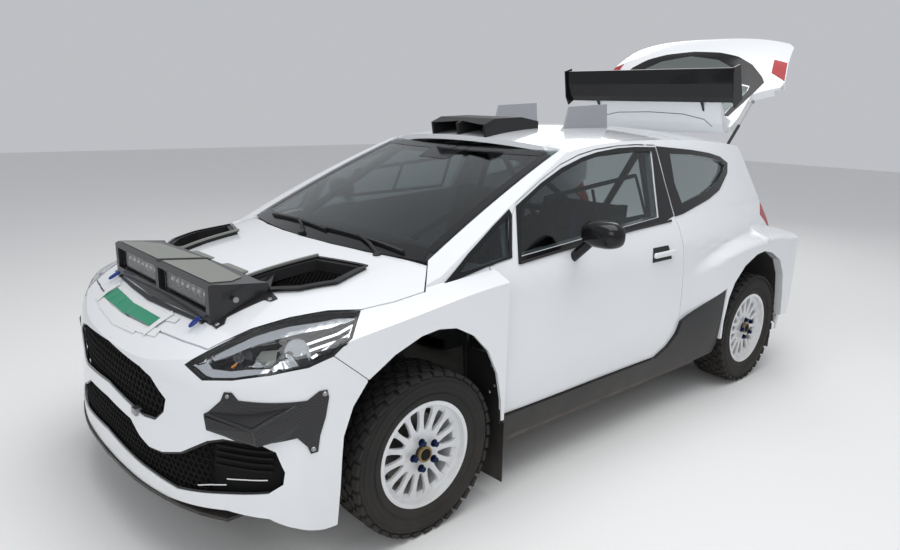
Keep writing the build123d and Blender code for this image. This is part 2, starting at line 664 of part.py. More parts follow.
def rear_point(u, z):
    """Point of the rear bumper's face at u from -1, the right side, to 1, the left side."""
    side = 1 if u >= 0 else -1
    run = min(1.0, abs(u))
    y = 872 * sin(run * pi / 2)
    return (TAIL_X + along(TAIL_PLAN, y) + along(REAR_PROFILE, z) * (1 - 0.5 * run), side * y, z)


rear_face = skin((-1, 1), (200, 880), (48, 20), rear_point)
rear_shelf = swept(rear_face, 134, (1, 0, 0)) & block((-2100, -636, 650), (-1500, 636, 662))
# Rear bumper seen from behind, columns: distance out, height
REAR_BUMPER_OUTLINE = [(0, 235), (1000, 235), (1000, 600), (870, 700), (800, 800), (752, 860), (676, 860),
                       (652, 700), (640, 662), (0, 662)]
flare_gap = swept(flared_face(1, -0.6), DOOR_WALL + 1.2, (0, -1, 0))
flare_gap = flare_gap & side_prism(grown(SIDE_OUTLINE, 0.6), 600, 1100)
with BuildPart() as rear_bumper:
    add(Solid.thicken(rear_face, -SKIN_WALL))
    keep(front_prism(mirrored_outline(REAR_BUMPER_OUTLINE), -2100, -1500))
    add(rear_shelf, clean=False)
    cut(flare_gap, mirrored(flare_gap))
write(rear_bumper.part, "rear_bumper")

# Tail lamps on the body's rear corners
with BuildPart() as tail_lamp:
    add(side_prism(grown(TAIL_LAMP_OUTLINE, 0), 679, 1100))
    cut(beyond_side(), tail_cutter)
with BuildPart() as tail_lamps:
    add(tail_lamp.part)
    add(mirrored(tail_lamp.part), clean=False)
write(tail_lamps.part, "tail_lamps")

ROCKER_HALF = 828.0
ROCKER_TOP = 329.7
# Sills: black skirts along the doors, kicking up to the rear arch
sill_sheet = swept(skin((-1000, 900), (180, 700), (16, 10),
                        lambda x, z: (x, flank(x, z) + 16 + (26 * min(1, max(0, (-x - 460) / 380)))
                                      - 0.0006 * max(0, 330 - z) ** 2, z)), 34, (0, -1, 0))
with BuildPart() as sill:
    add(sill_sheet & side_prism(SILL_OUTLINE, 600, 1100))
    cut(block((-760 - TRIM_SEAT, 600, 180),
              (DOOR_FRONT + 1, ROCKER_HALF + TRIM_SEAT, ROCKER_TOP + TRIM_SEAT)))
with BuildPart() as sills:
    add(sill.part)
    add(mirrored(sill.part), clean=False)
write(sills.part, "sills")

# Floor pan, bulkhead and boot floor: one bent sheet with a tunnel
FLOOR_HALF = 540.0
FLOOR_WALL = 24.0
FLOOR_HEIGHT = 214.0
# Line of the floor in side view, columns: place along the car, height
FLOOR_LINE = [(1170, 930), (1150, 700), (1010, 420), (930, FLOOR_HEIGHT), (-760, FLOOR_HEIGHT), (-900, 380),
              (-1520, 400), (-1620, 330), (-1780, 330), (-1830, 640)]
# The boot floor is a pressing of its own behind this joint
BOOT_JOINT = -960.0
with BuildPart() as rocker:
    add(block((-760, 640, FLOOR_HEIGHT - FLOOR_WALL / 2), (DOOR_FRONT, ROCKER_HALF, ROCKER_TOP)))
    add(block((-760, FLOOR_HALF - 1, FLOOR_HEIGHT - FLOOR_WALL / 2),
              (DOOR_FRONT, 641, FLOOR_HEIGHT + FLOOR_WALL / 2)), clean=False)
with BuildPart() as floor_pan:
    add(side_prism(band(FLOOR_LINE, FLOOR_WALL), -FLOOR_HALF, FLOOR_HALF))
    add(rocker.part, clean=False)
    add(mirrored(rocker.part), clean=False)
    cut(block((BOOT_JOINT - TRIM_SEAT, -600, 340), (BOOT_JOINT, 600, 440)))
write(floor_pan.part, "floor_pan")

# Wheels: rim with its brake disc, and tyre, made about the origin with the axle along Y, outside at +Y
# Rim section, columns: radius, distance out
RIM_OUTER = [(207, 89), (207, 83), (198, 80), (196, 66), (176, 52), (174, -30), (190, -52), (196, -66), (198, -80),
             (207, -83), (207, -89)]
RIM_INNER = [(191, -89), (189, -64), (183, -50), (167, -32), (167, 48), (188, 66), (192, 89)]
FACE_OUT = 62.0
FACE_WALL = 16.0
SLOT_COUNT = 15
NUT_COUNT = 5
NUT_CIRCLE = 54.0
# Tyre section, columns: radius, distance out
TYRE_HALF = [(196.3, 64), (196.3, 66), (198.3, 79.8), (207.3, 82.8), (207.3, 91), (222, 97), (262, 102.5),
             (296, 99), (314, 90), (321, 76), (TYRE_RADIUS, 50)]
TYRE_INSIDE = [(308, 48), (300, 82), (262, 90), (222, 85), (208, 64)]


def turned(points):
    """A ring with the given section, round the wheel's axle."""
    face = Face(Wire.make_polygon([(r, y, 0) for r, y in points], close=True))
    return Solid.revolve(face, 360, Axis.Y)


with BuildPart() as rim:
    add(turned(RIM_OUTER + RIM_INNER))
    with BuildSketch(Plane.XZ.offset(-(FACE_OUT - FACE_WALL))):
        Circle(168)
    extrude(amount=-FACE_WALL)
    with BuildSketch(Plane.XZ.offset(-(FACE_OUT - FACE_WALL))):
        with PolarLocations(128, SLOT_COUNT):
            SlotOverall(66, 22)
        Circle(32)
    extrude(amount=-FACE_WALL, mode=Mode.SUBTRACT)
    add(turned([(30, 46), (78, 46), (78, 4), (DISC_RADIUS, 4), (DISC_RADIUS, -20), (70, -20), (70, 36), (30, 36)]),
        clean=False)
    with BuildSketch(Plane.XZ.offset(-FACE_OUT)):
        with PolarLocations(NUT_CIRCLE, NUT_COUNT):
            RegularPolygon(12, 6)
    extrude(amount=-18)
with BuildPart() as tyre:
    add(turned(TYRE_HALF + [(r, -y) for r, y in reversed(TYRE_HALF)]
               + [(r, -y) for r, y in reversed(TYRE_INSIDE)] + TYRE_INSIDE))
CORNERS = [("front_left", FRONT_AXLE, 1), ("front_right", FRONT_AXLE, -1), ("rear_left", REAR_AXLE, 1),
           ("rear_right", REAR_AXLE, -1)]
for corner, axle, side in CORNERS:
    for name, piece in (("rim", rim), ("tyre", tyre)):
        shape = piece.part.moved(Location((axle, WHEEL_Y, TYRE_RADIUS)))
        with BuildPart() as placed:
            add(shape if side > 0 else mirrored(shape))
        write(placed.part, f"{name}_{corner}")

# Steering knuckles with their struts and brake calipers
LEAN = radians(KINGPIN_LEAN)
HUB_Z = TYRE_RADIUS


def kingpin(z):
    """Distance of the steering axis from the centre line at a height."""
    return KINGPIN_OFFSET - tan(LEAN) * (z - HUB_Z)


def pin_point(z):
    return (FRONT_AXLE, kingpin(z), z)


RACK_X = FRONT_AXLE - 125
RACK_Z = 262.0
with BuildPart() as upright:
    add(rod((FRONT_AXLE, 712, HUB_Z), (FRONT_AXLE, WHEEL_Y + 36 - WHEEL_SEAT, HUB_Z), 44))
    add(rod((FRONT_AXLE, 664, HUB_Z), (FRONT_AXLE, 716, HUB_Z), 38), clean=False)
    add(rod(pin_point(232), pin_point(470), 22), clean=False)
    add(rod((FRONT_AXLE, 700, 262), (RACK_X, 672, 238), 12), clean=False)
    add(rod((RACK_X, 672, 228), (RACK_X, 672, 248), 16), clean=False)
    add(block((FRONT_AXLE + 60, WHEEL_Y - 62, HUB_Z - 52), (FRONT_AXLE + 132, WHEEL_Y - 26, HUB_Z + 52)), clean=False)
    add(rod((FRONT_AXLE, 730, HUB_Z), (FRONT_AXLE + 80, 752, HUB_Z), 20), clean=False)
with BuildPart() as front_strut:
    add(rod(pin_point(470.3), pin_point(690), 21))
    add(rod(pin_point(690), pin_point(STRUT_TOP - 0.3), 12), clean=False)
    add(rod(pin_point(640), pin_point(652), 52), clean=False)
    for k in range(7):
        add(rod(pin_point(664 + 30 * k), pin_point(676 + 30 * k), 48), clean=False)
    add(rod(pin_point(STRUT_TOP - 14), pin_point(STRUT_TOP - 0.3), 52), clean=False)
    add(rod(pin_point(652), pin_point(STRUT_TOP - 14), 34), clean=False)
for name, side in (("knuckle_left", 1), ("knuckle_right", -1)):
    with BuildPart() as knuckle:
        for piece in (upright.part, front_strut.part):
            add(piece if side > 0 else mirrored(piece), clean=False)
    write(knuckle.part, name)

# Suspension that stays on the body: front subframe, lower arms and rack housing, rear arms, hubs and struts
with BuildPart() as suspension:
    add(block((FRONT_AXLE - 150, -330, 196), (FRONT_AXLE + 120, 330, 232)))
    for side in (1, -1):
        for x in (FRONT_AXLE - 120, FRONT_AXLE + 90):
            add(rod((x, side * 320, 214), (FRONT_AXLE, side * kingpin(208), 208), 15), clean=False)
        low, high = pin_point(190), pin_point(232 - WHEEL_SEAT)
        add(rod((low[0], side * low[1], low[2]), (high[0], side * high[1], high[2]), 20), clean=False)
    add(rod((RACK_X, -300, RACK_Z + 22), (RACK_X, 300, RACK_Z + 22), 28), clean=False)
    cut(rod((RACK_X, -400, RACK_Z + 22), (RACK_X, 400, RACK_Z + 22), 12))
    for y in (-200, 160):
        add(block((RACK_X - 20, y, 231), (RACK_X + 20, y + 40, RACK_Z)), clean=False)
    add(rod((REAR_AXLE + 60, -640, 300), (REAR_AXLE + 60, 640, 300), 34), clean=False)
    for side in (1, -1):
        add(rod((REAR_AXLE, side * 640, HUB_Z), (REAR_AXLE, side * (WHEEL_Y + 36 - WHEEL_SEAT), HUB_Z), 44),
            clean=False)
        near, far = sorted((side * 630, side * 690))
        add(block((REAR_AXLE - 50, near, 240), (REAR_AXLE + 90, far, 400)), clean=False)
        low, high = Vector(REAR_AXLE, side * 650, 380), Vector(REAR_AXLE - 40, side * 610, 756)
        add(rod(tuple(low), tuple(high), 24), clean=False)
        for k in range(6):
            start, end = low + (high - low) * (0.45 + 0.08 * k), low + (high - low) * (0.48 + 0.08 * k)
            add(rod(tuple(start), tuple(end), 44), clean=False)
        add(rod((REAR_AXLE + 60, side * 660, 300), (-760.3, side * 660, 300), 20), clean=False)
write(suspension.part, "suspension")

# Steering rack: one bar with its two rod ends
with BuildPart() as rack:
    add(rod((RACK_X, -655, RACK_Z + 22), (RACK_X, 655, RACK_Z + 22), 11))
    for side in (1, -1):
        add(rod((RACK_X, side * 672, 276), (RACK_X, side * 672, 292), 18), clean=False)
write(rack.part, "steering_rack")

# Inner wings with the strut towers, and the liners of the rear wheel arches
TOWER_PLATE = [(1177, 860), (1164.5, 710), (1240, 300), (1520, 300), (1520, 860)]
tower_top = kingpin(STRUT_TOP)
with BuildPart() as tower:
    add(side_prism(TOWER_PLATE, 440, 470))
    cut(rod((FRONT_AXLE, 400, HUB_Z), (FRONT_AXLE, 500, HUB_Z), 40))
    add(block((FRONT_AXLE - 60, 440, 850), (FRONT_AXLE + 80, 470, STRUT_TOP + 24)), clean=False)
    add(block((FRONT_AXLE - 60, 440, STRUT_TOP + 12), (FRONT_AXLE + 80, 590, STRUT_TOP + 24)), clean=False)
    add(rod((FRONT_AXLE, tower_top, STRUT_TOP + 12), (FRONT_AXLE, tower_top, STRUT_TOP + 24), 62), clean=False)
    add(rod(pin_point(STRUT_TOP), pin_point(STRUT_TOP + 14), 30), clean=False)
liner_line = grown(arch_points(REAR_AXLE, REAR_ARCH), 6)[1:-1]
with BuildPart() as liner:
    add(side_prism(band(liner_line, 7), FLOOR_HALF + TRIM_SEAT, 856))
    cut(side_prism([(-2000, 0), (-2000, 300), (0, 300), (0, 0)], 400, 1000))
    arch_plate = grown(arch_points(REAR_AXLE, REAR_ARCH), 6)
    add(side_prism(arch_plate, FLOOR_HALF + TRIM_SEAT, FLOOR_HALF + 8.3), clean=False)
    cut(side_prism([(-2000, 0), (-2000, 420), (0, 420), (0, 0)], 400, 600))
with BuildPart() as inner_wings:
    for piece in (tower.part, liner.part):
        add(piece, clean=False)
        add(mirrored(piece), clean=False)
write(inner_wings.part, "inner_wings")

# Engine and gearbox as one block
with BuildPart() as engine:
    add(block((1330, -360, 290), (1700, 330, 820)))
    add(block((1180, -180, 232.3), (1331, 230, 480)), clean=False)
    for side in (1, -1):
        add(rod((FRONT_AXLE, side * 120, HUB_Z), (FRONT_AXLE, side * 628, HUB_Z), 14), clean=False)
write(engine.part, "engine_block")

# Cabin: roll cage, seats, dashboard and steering wheel
CAGE_RADIUS = 20.0
# Cage joints on the left, columns: name, place along the car, distance out, height
CAGE_POINTS = {"foot": (-470, 665, 330), "sill_rear": (-472, 665, 450), "belt": (-480, 660, 980),
               "hoop": (-500, 535, 1372), "head": (255, 520, 1335), "knee": (840, 645, 970),
               "door_high": (836, 648, 880), "sill_front": (820, 663, 450), "toe": (816, 665, 330),
               "tail_foot": (-1230, 480, 404)}
CAGE_BARS = [("foot", "belt"), ("belt", "hoop"), ("hoop", "head"), ("head", "knee"), ("knee", "toe"),
             ("hoop", "tail_foot"), ("sill_rear", "door_high"), ("sill_front", "belt")]
CAGE_FEET = ("foot", "toe", "tail_foot")
with BuildPart() as cage:
    for side in (1, -1):
        for first, second in CAGE_BARS:
            ends = [(x, side * y, z) for x, y, z in (CAGE_POINTS[first], CAGE_POINTS[second])]
            add(rod(ends[0], ends[1], CAGE_RADIUS), clean=False)
        for name, (x, y, z) in CAGE_POINTS.items():
            if name in CAGE_FEET:
                add(block((x - 30, side * y - 30, z), (x + 30, side * y + 30, z + 8)), clean=False)
            else:
                add(Solid.make_sphere(CAGE_RADIUS + 3, Plane(origin=(x, side * y, z))), clean=False)
    for name in ("hoop", "head", "knee", "belt"):
        x, y, z = CAGE_POINTS[name]
        add(rod((x, -y, z), (x, y, z), CAGE_RADIUS), clean=False)
    hoop, tail = CAGE_POINTS["hoop"], CAGE_POINTS["tail_foot"]
    head, belt = CAGE_POINTS["head"], CAGE_POINTS["belt"]
    for side in (1, -1):
        add(rod((hoop[0], side * hoop[1], hoop[2]), (tail[0], -side * tail[1], tail[2]), CAGE_RADIUS), clean=False)
        add(rod((hoop[0], side * hoop[1], hoop[2]), (head[0], -side * head[1], head[2]), CAGE_RADIUS), clean=False)
    cut(block((-1400, -700, 300), (-1100, 700, 404)), block((-600, -700, 250), (-300, 700, 330)),
        block((700, -700, 250), (900, 700, 330)))
write(cage.part, "roll_cage")

SEAT_Y = 350.0
# Seat shell in side view, columns: place along the car, height
SEAT_SHELL = [(330, 330), (250, 300), (-60, 262), (-130, 300), (-330, 880), (-345, 1080)]
with BuildPart() as seat:
    add(side_prism(band(SEAT_SHELL, 22), SEAT_Y - 200, SEAT_Y + 200))
    for near in (SEAT_Y - 236, SEAT_Y + 200):
        add(side_prism([(330, 318), (330, 400), (60, 430), (-60, 560), (-170, 900), (-250, 1085), (-356, 1085),
                        (-342, 876), (-140, 294), (-60, 250), (250, 289)], near, near + 36), clean=False)
        add(block((-40, near + 6, 226.5), (250, near + 30, 300)), clean=False)
with BuildPart() as seats:
    add(seat.part)
    add(mirrored(seat.part), clean=False)
write(seats.part, "seats")

WHEEL_CENTRE = (430.0, SEAT_Y, 900.0)
COLUMN_END = (860.0, SEAT_Y, 760.0)
with BuildPart() as dashboard:
    add(side_prism([(1157.5, 930), (960, 925), (800, 915), (720, 880), (700, 830), (760, 770), (1142.8, 760)],
                   -600, 600))

column_way = (Vector(*WHEEL_CENTRE) - Vector(*COLUMN_END)).normalized()
wheel_plane = Plane(origin=WHEEL_CENTRE, x_dir=(0, 1, 0), z_dir=tuple(column_way))
with BuildPart() as steering_wheel:
    with BuildSketch(wheel_plane):
        Circle(48)
        with PolarLocations(0, 3, start_angle=-90):
            with Locations((85, 0)):
                Rectangle(130, 24)
    extrude(amount=6, both=True)
    wheel_section = tuple(column_way.cross(Vector(0, 1, 0)))
    with BuildSketch(Plane(origin=WHEEL_CENTRE, x_dir=(0, 1, 0), z_dir=wheel_section)):
        with Locations((165, 0)):
            Circle(15)
    revolve(axis=Axis(WHEEL_CENTRE, tuple(column_way)))
    with BuildSketch(wheel_plane):
        Circle(30)
    extrude(amount=-60)
write(steering_wheel.part, "steering_wheel")

# Dashboard with the steering column that reaches to the wheel's boss
with BuildPart() as dashboard_column:
    add(dashboard.part)
    add(rod(tuple(Vector(*WHEEL_CENTRE) - column_way * 60.3), COLUMN_END, 20), clean=False)
write(dashboard_column.part, "dashboard")

# Gas struts between the body sides and the tailgate
turn = radians(TAILGATE_SWING)
eye_dx, eye_dz = STRUT_EYE_SHUT[0] - HINGE_X, STRUT_EYE_SHUT[2] - HINGE_Z
STRUT_EYE = (HINGE_X + eye_dx * cos(turn) + eye_dz * sin(turn), STRUT_Y,
             HINGE_Z - eye_dx * sin(turn) + eye_dz * cos(turn))
foot = Vector(*STRUT_FOOT)
strut_way = (Vector(*STRUT_EYE) - foot).normalized()
open_length = (Vector(*STRUT_EYE) - foot).length
shut_length = (Vector(*STRUT_EYE_SHUT) - foot).length
CYLINDER_RADIUS = 9.0
BORE_RADIUS = 5.0
BORE_START = 18.0
ROD_LENGTH = 222.0
with BuildPart() as strut_cylinder:
    add(rod(tuple(foot + strut_way * 4), tuple(foot + strut_way * (shut_length - 14)), CYLINDER_RADIUS))
    add(rod((foot.X, foot.Y - 9.5, foot.Z), (foot.X, foot.Y + 9.5, foot.Z), 11), clean=False)
    cut(rod(tuple(foot + strut_way * BORE_START), tuple(foot + strut_way * shut_length), BORE_RADIUS))
with BuildPart() as strut_rod:
    add(rod(tuple(foot + strut_way * (open_length - ROD_LENGTH)), STRUT_EYE, 4))
    add(rod((STRUT_EYE[0], STRUT_Y - 7, STRUT_EYE[2]), (STRUT_EYE[0], STRUT_Y + 7, STRUT_EYE[2]), 10), clean=False)
for name, side in (("left", 1), ("right", -1)):
    for kind, piece in (("cylinder", strut_cylinder), ("rod", strut_rod)):
        with BuildPart() as placed:
            add(piece.part if side > 0 else mirrored(piece.part))
        write(placed.part, f"gas_strut_{kind}_{name}")

# Roof scoop and the two fins behind it
SCOOP_HALF = 198
SCOOP_SIDE = [(300, 1380), (318, 1480), (250, 1508), (60, 1516), (-70, 1496), (-80, 1380)]
with BuildPart() as scoop:
    add(side_prism(SCOOP_SIDE, -SCOOP_HALF, SCOOP_HALF))
    for side in (1, -1):
        cut(front_prism([(side * (SCOOP_HALF - 14), 1400), (side * (SCOOP_HALF - 14), 1478), (side * 8, 1492),
                         (side * 8, 1400)], 120, 420))
    keep(above(roof_face, -TRIM_SEAT))
write(scoop.part, "roof_scoop")
fin = side_prism([(-200, 1440), (-240, 1572), (-560, 1590), (-580, 1440)], 250, 262)
with BuildPart() as fins:
    add(fin)
    add(mirrored(fin), clean=False)
    keep(above(roof_face, -TRIM_SEAT))
write(fins.part, "roof_fins")

# Corner lamp pods on the bumper
POD_VIEW = Plane(origin=(1940, 730, 562), x_dir=(-0.56, 0.828, -0.1), z_dir=(0.828, 0.56, 0.03))
with BuildPart() as pod:
    with BuildSketch(POD_VIEW):
        Rectangle(186, 52)
    extrude(amount=-150, taper=-8)
    keep(around_nose(TRIM_SEAT, 200))
with BuildPart() as corner_lamps:
    add(pod.part)
    add(mirrored(pod.part), clean=False)
write(corner_lamps.part, "corner_lamps")

# Lamp pod on the bonnet
with BuildPart() as lamp_pod:
    add(side_prism([(1852, 700), (1852, 966), (1838, 972), (1640, 952), (1620, 890), (1640, 700)], -482, 482))
    for near, far in ((-440, -14), (14, 440)):
        cut(block((1760, near, 868), (1900, far, 950)))
    cut(*[plan_prism([(1900, 450 * s), (1600, 560 * s), (1900, 560 * s)], 600, 1100) for s in (1, -1)])
    keep(above(bonnet_face, -TRIM_SEAT))
    vent_gap = plan_prism(grown(VENT_OUTLINE, 9), 500, 1300)
    cut(vent_gap, mirrored(vent_gap))
write(lamp_pod.part, "lamp_pod")

# Bonnet vents: black surrounds, sunk into the bonnet
with BuildPart() as vent:
    add(plan_prism(grown(VENT_OUTLINE, 8), 700, 1100))
    keep(above(bonnet_face, -TRIM_SEAT) - above(bonnet_face, -10))
    vent_sleeve = plan_prism(grown(VENT_OUTLINE, -TRIM_SEAT), 800, 1100)
    add(vent_sleeve & (above(bonnet_face, 30) - above(bonnet_face, -10)), clean=False)
    cut(plan_prism(grown(VENT_OUTLINE, -14), 700, 1200))
with BuildPart() as bonnet_vents:
    add(vent.part)
    add(mirrored(vent.part), clean=False)
write(bonnet_vents.part, "bonnet_vents")

# Grilles: upper mesh and lower intake, right behind the bumper's wall
grille_sheet = around_nose(-SKIN_WALL - TRIM_SEAT, -SKIN_WALL - 10)
with BuildPart() as grilles:
    add(grille_sheet & front_prism(grown(mirrored_outline(GRILLE_OUTLINE), 12), 1500, 2200))
    add(grille_sheet & front_prism(grown(mirrored_outline(INTAKE_OUTLINE), 12), 1500, 2200), clean=False)
    cut(above(bonnet_face, SKIN_WALL + TRIM_SEAT))
write(grilles.part, "grilles")

# Splitter plate below the bumper
SPLITTER_TOP = 257.7
with BuildPart() as splitter:
    front_edge = [(nose_place(y, 262) + 6, y) for y in range(0, 721, 90)]
    add(plan_prism(both_ways(front_edge + [(1640, 720), (1640, 0)]), SPLITTER_TOP - 12, SPLITTER_TOP))
write(splitter.part, "splitter")

# Cowl below the windscreen: a channel under the bonnet's edge with a lip up to the glass
with BuildPart() as cowl:
    add(plan_prism([(screen_foot(y) - 10, y) for y in range(-640, 641, 80)]
                   + [(screen_foot(y) + 60, y) for y in range(640, -641, -80)], 880, 1100))
    keep(above(bonnet_face, 46) - above(bonnet_face, BONNET_WALL + 8))
    add(plan_prism([(screen_foot(y) - 12, y) for y in range(-640, 641, 80)]
                   + [(screen_foot(y) - 2, y) for y in range(640, -641, -80)], 800, 1100)
        & (above(bonnet_face, 46) - above(screen_face, 3 + GLASS_WALL + TRIM_SEAT)), clean=False)
    cut(bonnet_plan_gap & above(bonnet_face, BONNET_WALL + 6))
write(cowl.part, "cowl")

# Mudflaps behind the four wheels
MUDFLAPS = [(DOOR_FRONT + TRIM_SEAT, 700, 905, 75, 338), (-1656, FLOOR_HALF + TRIM_SEAT, 856, 110, 420)]
with BuildPart() as mudflaps:
    for x, near, far, low, high in MUDFLAPS:
        flap = block((x, near, low), (x + 5, far, high))
        add(flap, clean=False)
        add(mirrored(flap), clean=False)
write(mudflaps.part, "mudflaps")

# Door mirrors on stalks
MIRROR_SECTIONS = [
    # x, width, height, corner radius
    (332, 200, 118, 48),
    (385, 186, 106, 48),
    (427, 120, 62, 28),
]
MIRROR_CENTRE = (965, 1064)
MIRROR_STALK = 20
with BuildPart() as door_mirror:
    for x, width, height, corner in MIRROR_SECTIONS:
        with BuildSketch(Plane.YZ.offset(x)):
            with Locations(MIRROR_CENTRE):
                RectangleRounded(width, height, corner)
    loft(ruled=True)
    add(rod((362, 790, 915), (380, 950, 1050), MIRROR_STALK), clean=False)
    keep(beyond_side(-TRIM_SEAT))
for name, side in (("left", 1), ("right", -1)):
    with BuildPart() as placed:
        add(door_mirror.part if side > 0 else mirrored(door_mirror.part))
    write(placed.part, f"mirror_{name}")

# Exhaust along the floor
EXHAUST_TOP = FLOOR_HEIGHT - FLOOR_WALL / 2 - TRIM_SEAT
with BuildPart() as exhaust:
    add(rod((900, 60, EXHAUST_TOP - 30), (-1965, 60, EXHAUST_TOP - 30), 30))
    cut(rod((-1845, 60, EXHAUST_TOP - 30), (-1970, 60, EXHAUST_TOP - 30), 26))
    add(block((-640, -40, EXHAUST_TOP - 64), (-240, 160, EXHAUST_TOP)), clean=False)
write(exhaust.part, "exhaust")
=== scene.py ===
# %% [markdown]
# # A rally car in Blender
# The car's solids come from its CAD model. This notebook loads them as a fixed frame, gives every panel its
# finish, and adds the fine pieces that a CAD model leaves out: tread, grille mesh, lamp insides, wipers and
# trim. Everything is in metres. +X points forward, +Y to the car's left and +Z up.

import json
import math

import bmesh
import bpy
from mathutils import Matrix, Vector
from mathutils.bvhtree import BVHTree

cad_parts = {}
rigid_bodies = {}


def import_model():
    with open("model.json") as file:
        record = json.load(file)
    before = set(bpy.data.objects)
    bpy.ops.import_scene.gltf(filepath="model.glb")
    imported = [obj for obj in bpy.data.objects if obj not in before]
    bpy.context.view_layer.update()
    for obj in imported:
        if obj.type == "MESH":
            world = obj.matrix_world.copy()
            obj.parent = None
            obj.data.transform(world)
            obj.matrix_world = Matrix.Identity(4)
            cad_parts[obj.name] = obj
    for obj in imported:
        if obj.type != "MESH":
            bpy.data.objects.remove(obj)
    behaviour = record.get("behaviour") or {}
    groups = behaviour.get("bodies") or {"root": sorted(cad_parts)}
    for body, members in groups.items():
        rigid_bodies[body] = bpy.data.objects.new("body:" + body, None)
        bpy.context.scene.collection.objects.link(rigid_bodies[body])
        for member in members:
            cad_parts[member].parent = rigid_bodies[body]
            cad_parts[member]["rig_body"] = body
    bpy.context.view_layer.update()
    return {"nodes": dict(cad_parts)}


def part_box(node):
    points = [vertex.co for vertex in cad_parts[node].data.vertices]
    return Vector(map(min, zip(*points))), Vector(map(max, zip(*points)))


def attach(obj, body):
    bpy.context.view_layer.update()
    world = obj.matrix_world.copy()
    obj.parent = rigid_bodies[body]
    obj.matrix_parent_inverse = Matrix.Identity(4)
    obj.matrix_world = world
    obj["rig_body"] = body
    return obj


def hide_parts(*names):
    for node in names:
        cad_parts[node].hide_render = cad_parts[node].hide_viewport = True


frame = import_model()
nodes = frame["nodes"]
print("CAD nodes:", len(nodes))

# %% [markdown]
# The camera comes first, because it decides what shows. It stands ahead of the car's left front corner at
# about head height, and it was solved from points on the picture. The lens is given for a 36 mm wide
# sensor, and the small shifts put the picture's centre where the photographer had it.

# %% Camera
SENSOR_WIDTH = 36.0
FOCAL_LENGTH = 28.394
PICTURE_SHIFT = (0.00591, 0.01432)
VIEW_DEPTH = 60.0
CAMERA_PLACE = (2.78866, 2.68971, 1.57273)
CAMERA_TURN = (75.4523, -1.2853, 138.4258)
camera_data = bpy.data.cameras.new("photo_camera")
camera_data.sensor_width = SENSOR_WIDTH
camera_data.sensor_fit = "HORIZONTAL"
camera_data.lens = FOCAL_LENGTH
camera_data.shift_x, camera_data.shift_y = PICTURE_SHIFT
camera_data.clip_end = VIEW_DEPTH
camera = bpy.data.objects.new("photo_camera", camera_data)
camera.location = CAMERA_PLACE
camera.rotation_euler = [math.radians(a) for a in CAMERA_TURN]
bpy.context.scene.collection.objects.link(camera)
bpy.context.scene.camera = camera
print("camera at", tuple(camera.location))

# %% [markdown]
# A studio for a white car needs a pale floor that still shows a shadow, a bright sky for the paint to
# reflect, and one large soft lamp overhead. The lamps are weak enough that white paint doesn't burn out.

# %% Floor, world and lamps
FLOOR_SIZE = 40.0
FLOOR_COLOUR = (0.80, 0.80, 0.79)
FLOOR_ROUGHNESS = 0.8
SKY_COLOUR = (0.93, 0.95, 1.0)
SKY_STRENGTH = 0.55
LAMPS = [
    # name, place, the point it looks at, size in metres, power in watts
    ("overhead", (0.5, 1.0, 5.5), (0, 0, 0.5), 5.0, 210),
    ("front_fill", (5.5, 3.5, 3.0), (0.5, 0, 0.6), 3.0, 60),
    ("rear_fill", (-5.5, -3.0, 3.5), (-0.5, 0, 0.8), 3.0, 50),
]
bpy.context.scene.view_settings.view_transform = "Standard"


def link(obj):
    """Put a new object into the scene."""
    bpy.context.scene.collection.objects.link(obj)
    return obj


def node_tree(material):
    """A material's node tree and its shader, ready for more nodes."""
    material.use_nodes = True
    tree = material.node_tree
    return tree, tree.nodes["Principled BSDF"]


def mesh_object(name, bm):
    """Turn a bmesh into an object at the origin, with its faces pointing outwards."""
    bmesh.ops.recalc_face_normals(bm, faces=bm.faces)
    mesh = bpy.data.meshes.new(name)
    bm.to_mesh(mesh)
    bm.free()
    return link(bpy.data.objects.new(name, mesh))


floor_bm = bmesh.new()
bmesh.ops.create_grid(floor_bm, x_segments=1, y_segments=1, size=FLOOR_SIZE / 2)
floor = mesh_object("floor", floor_bm)
floor_material = bpy.data.materials.new("studio_floor")
floor_shader = node_tree(floor_material)[1]
floor_shader.inputs["Base Color"].default_value = (*FLOOR_COLOUR, 1)
floor_shader.inputs["Roughness"].default_value = FLOOR_ROUGHNESS
floor.data.materials.append(floor_material)

world = bpy.data.worlds.new("studio")
bpy.context.scene.world = world
world.use_nodes = True
sky = world.node_tree.nodes["Background"]
sky.inputs["Color"].default_value = (*SKY_COLOUR, 1)
sky.inputs["Strength"].default_value = SKY_STRENGTH


def area_lamp(name, place, target, size, power):
    """A soft square lamp that looks at a point."""
    data = bpy.data.lights.new(name, "AREA")
    data.size = size
    data.energy = power
    lamp = link(bpy.data.objects.new(name, data))
    lamp.location = place
    lamp.rotation_euler = (Vector(target) - Vector(place)).to_track_quat("-Z", "Y").to_euler()


for values in LAMPS:
    area_lamp(*values)
print("lamps:", len(bpy.data.lights))

# %% [markdown]
# Finishes share a few effects: a fine grain, a woven cloth or carbon pattern, and road dust that thickens
# towards the ground. Each effect is a node group with named sockets, built once and used by many materials.
# Small helpers add the nodes, so that each group reads as a short recipe.

# %% Helpers for shader nodes
def new_group(name, inputs, outputs):
    """An empty node group with float sockets, and its input and output nodes."""
    group = bpy.data.node_groups.new(name, "ShaderNodeTree")
    for socket, value in inputs:
        item = group.interface.new_socket(socket, in_out="INPUT", socket_type="NodeSocketFloat")
        item.default_value = value
    for socket in outputs:
        group.interface.new_socket(socket, in_out="OUTPUT", socket_type="NodeSocketFloat")
    return group, group.nodes.new("NodeGroupInput"), group.nodes.new("NodeGroupOutput")


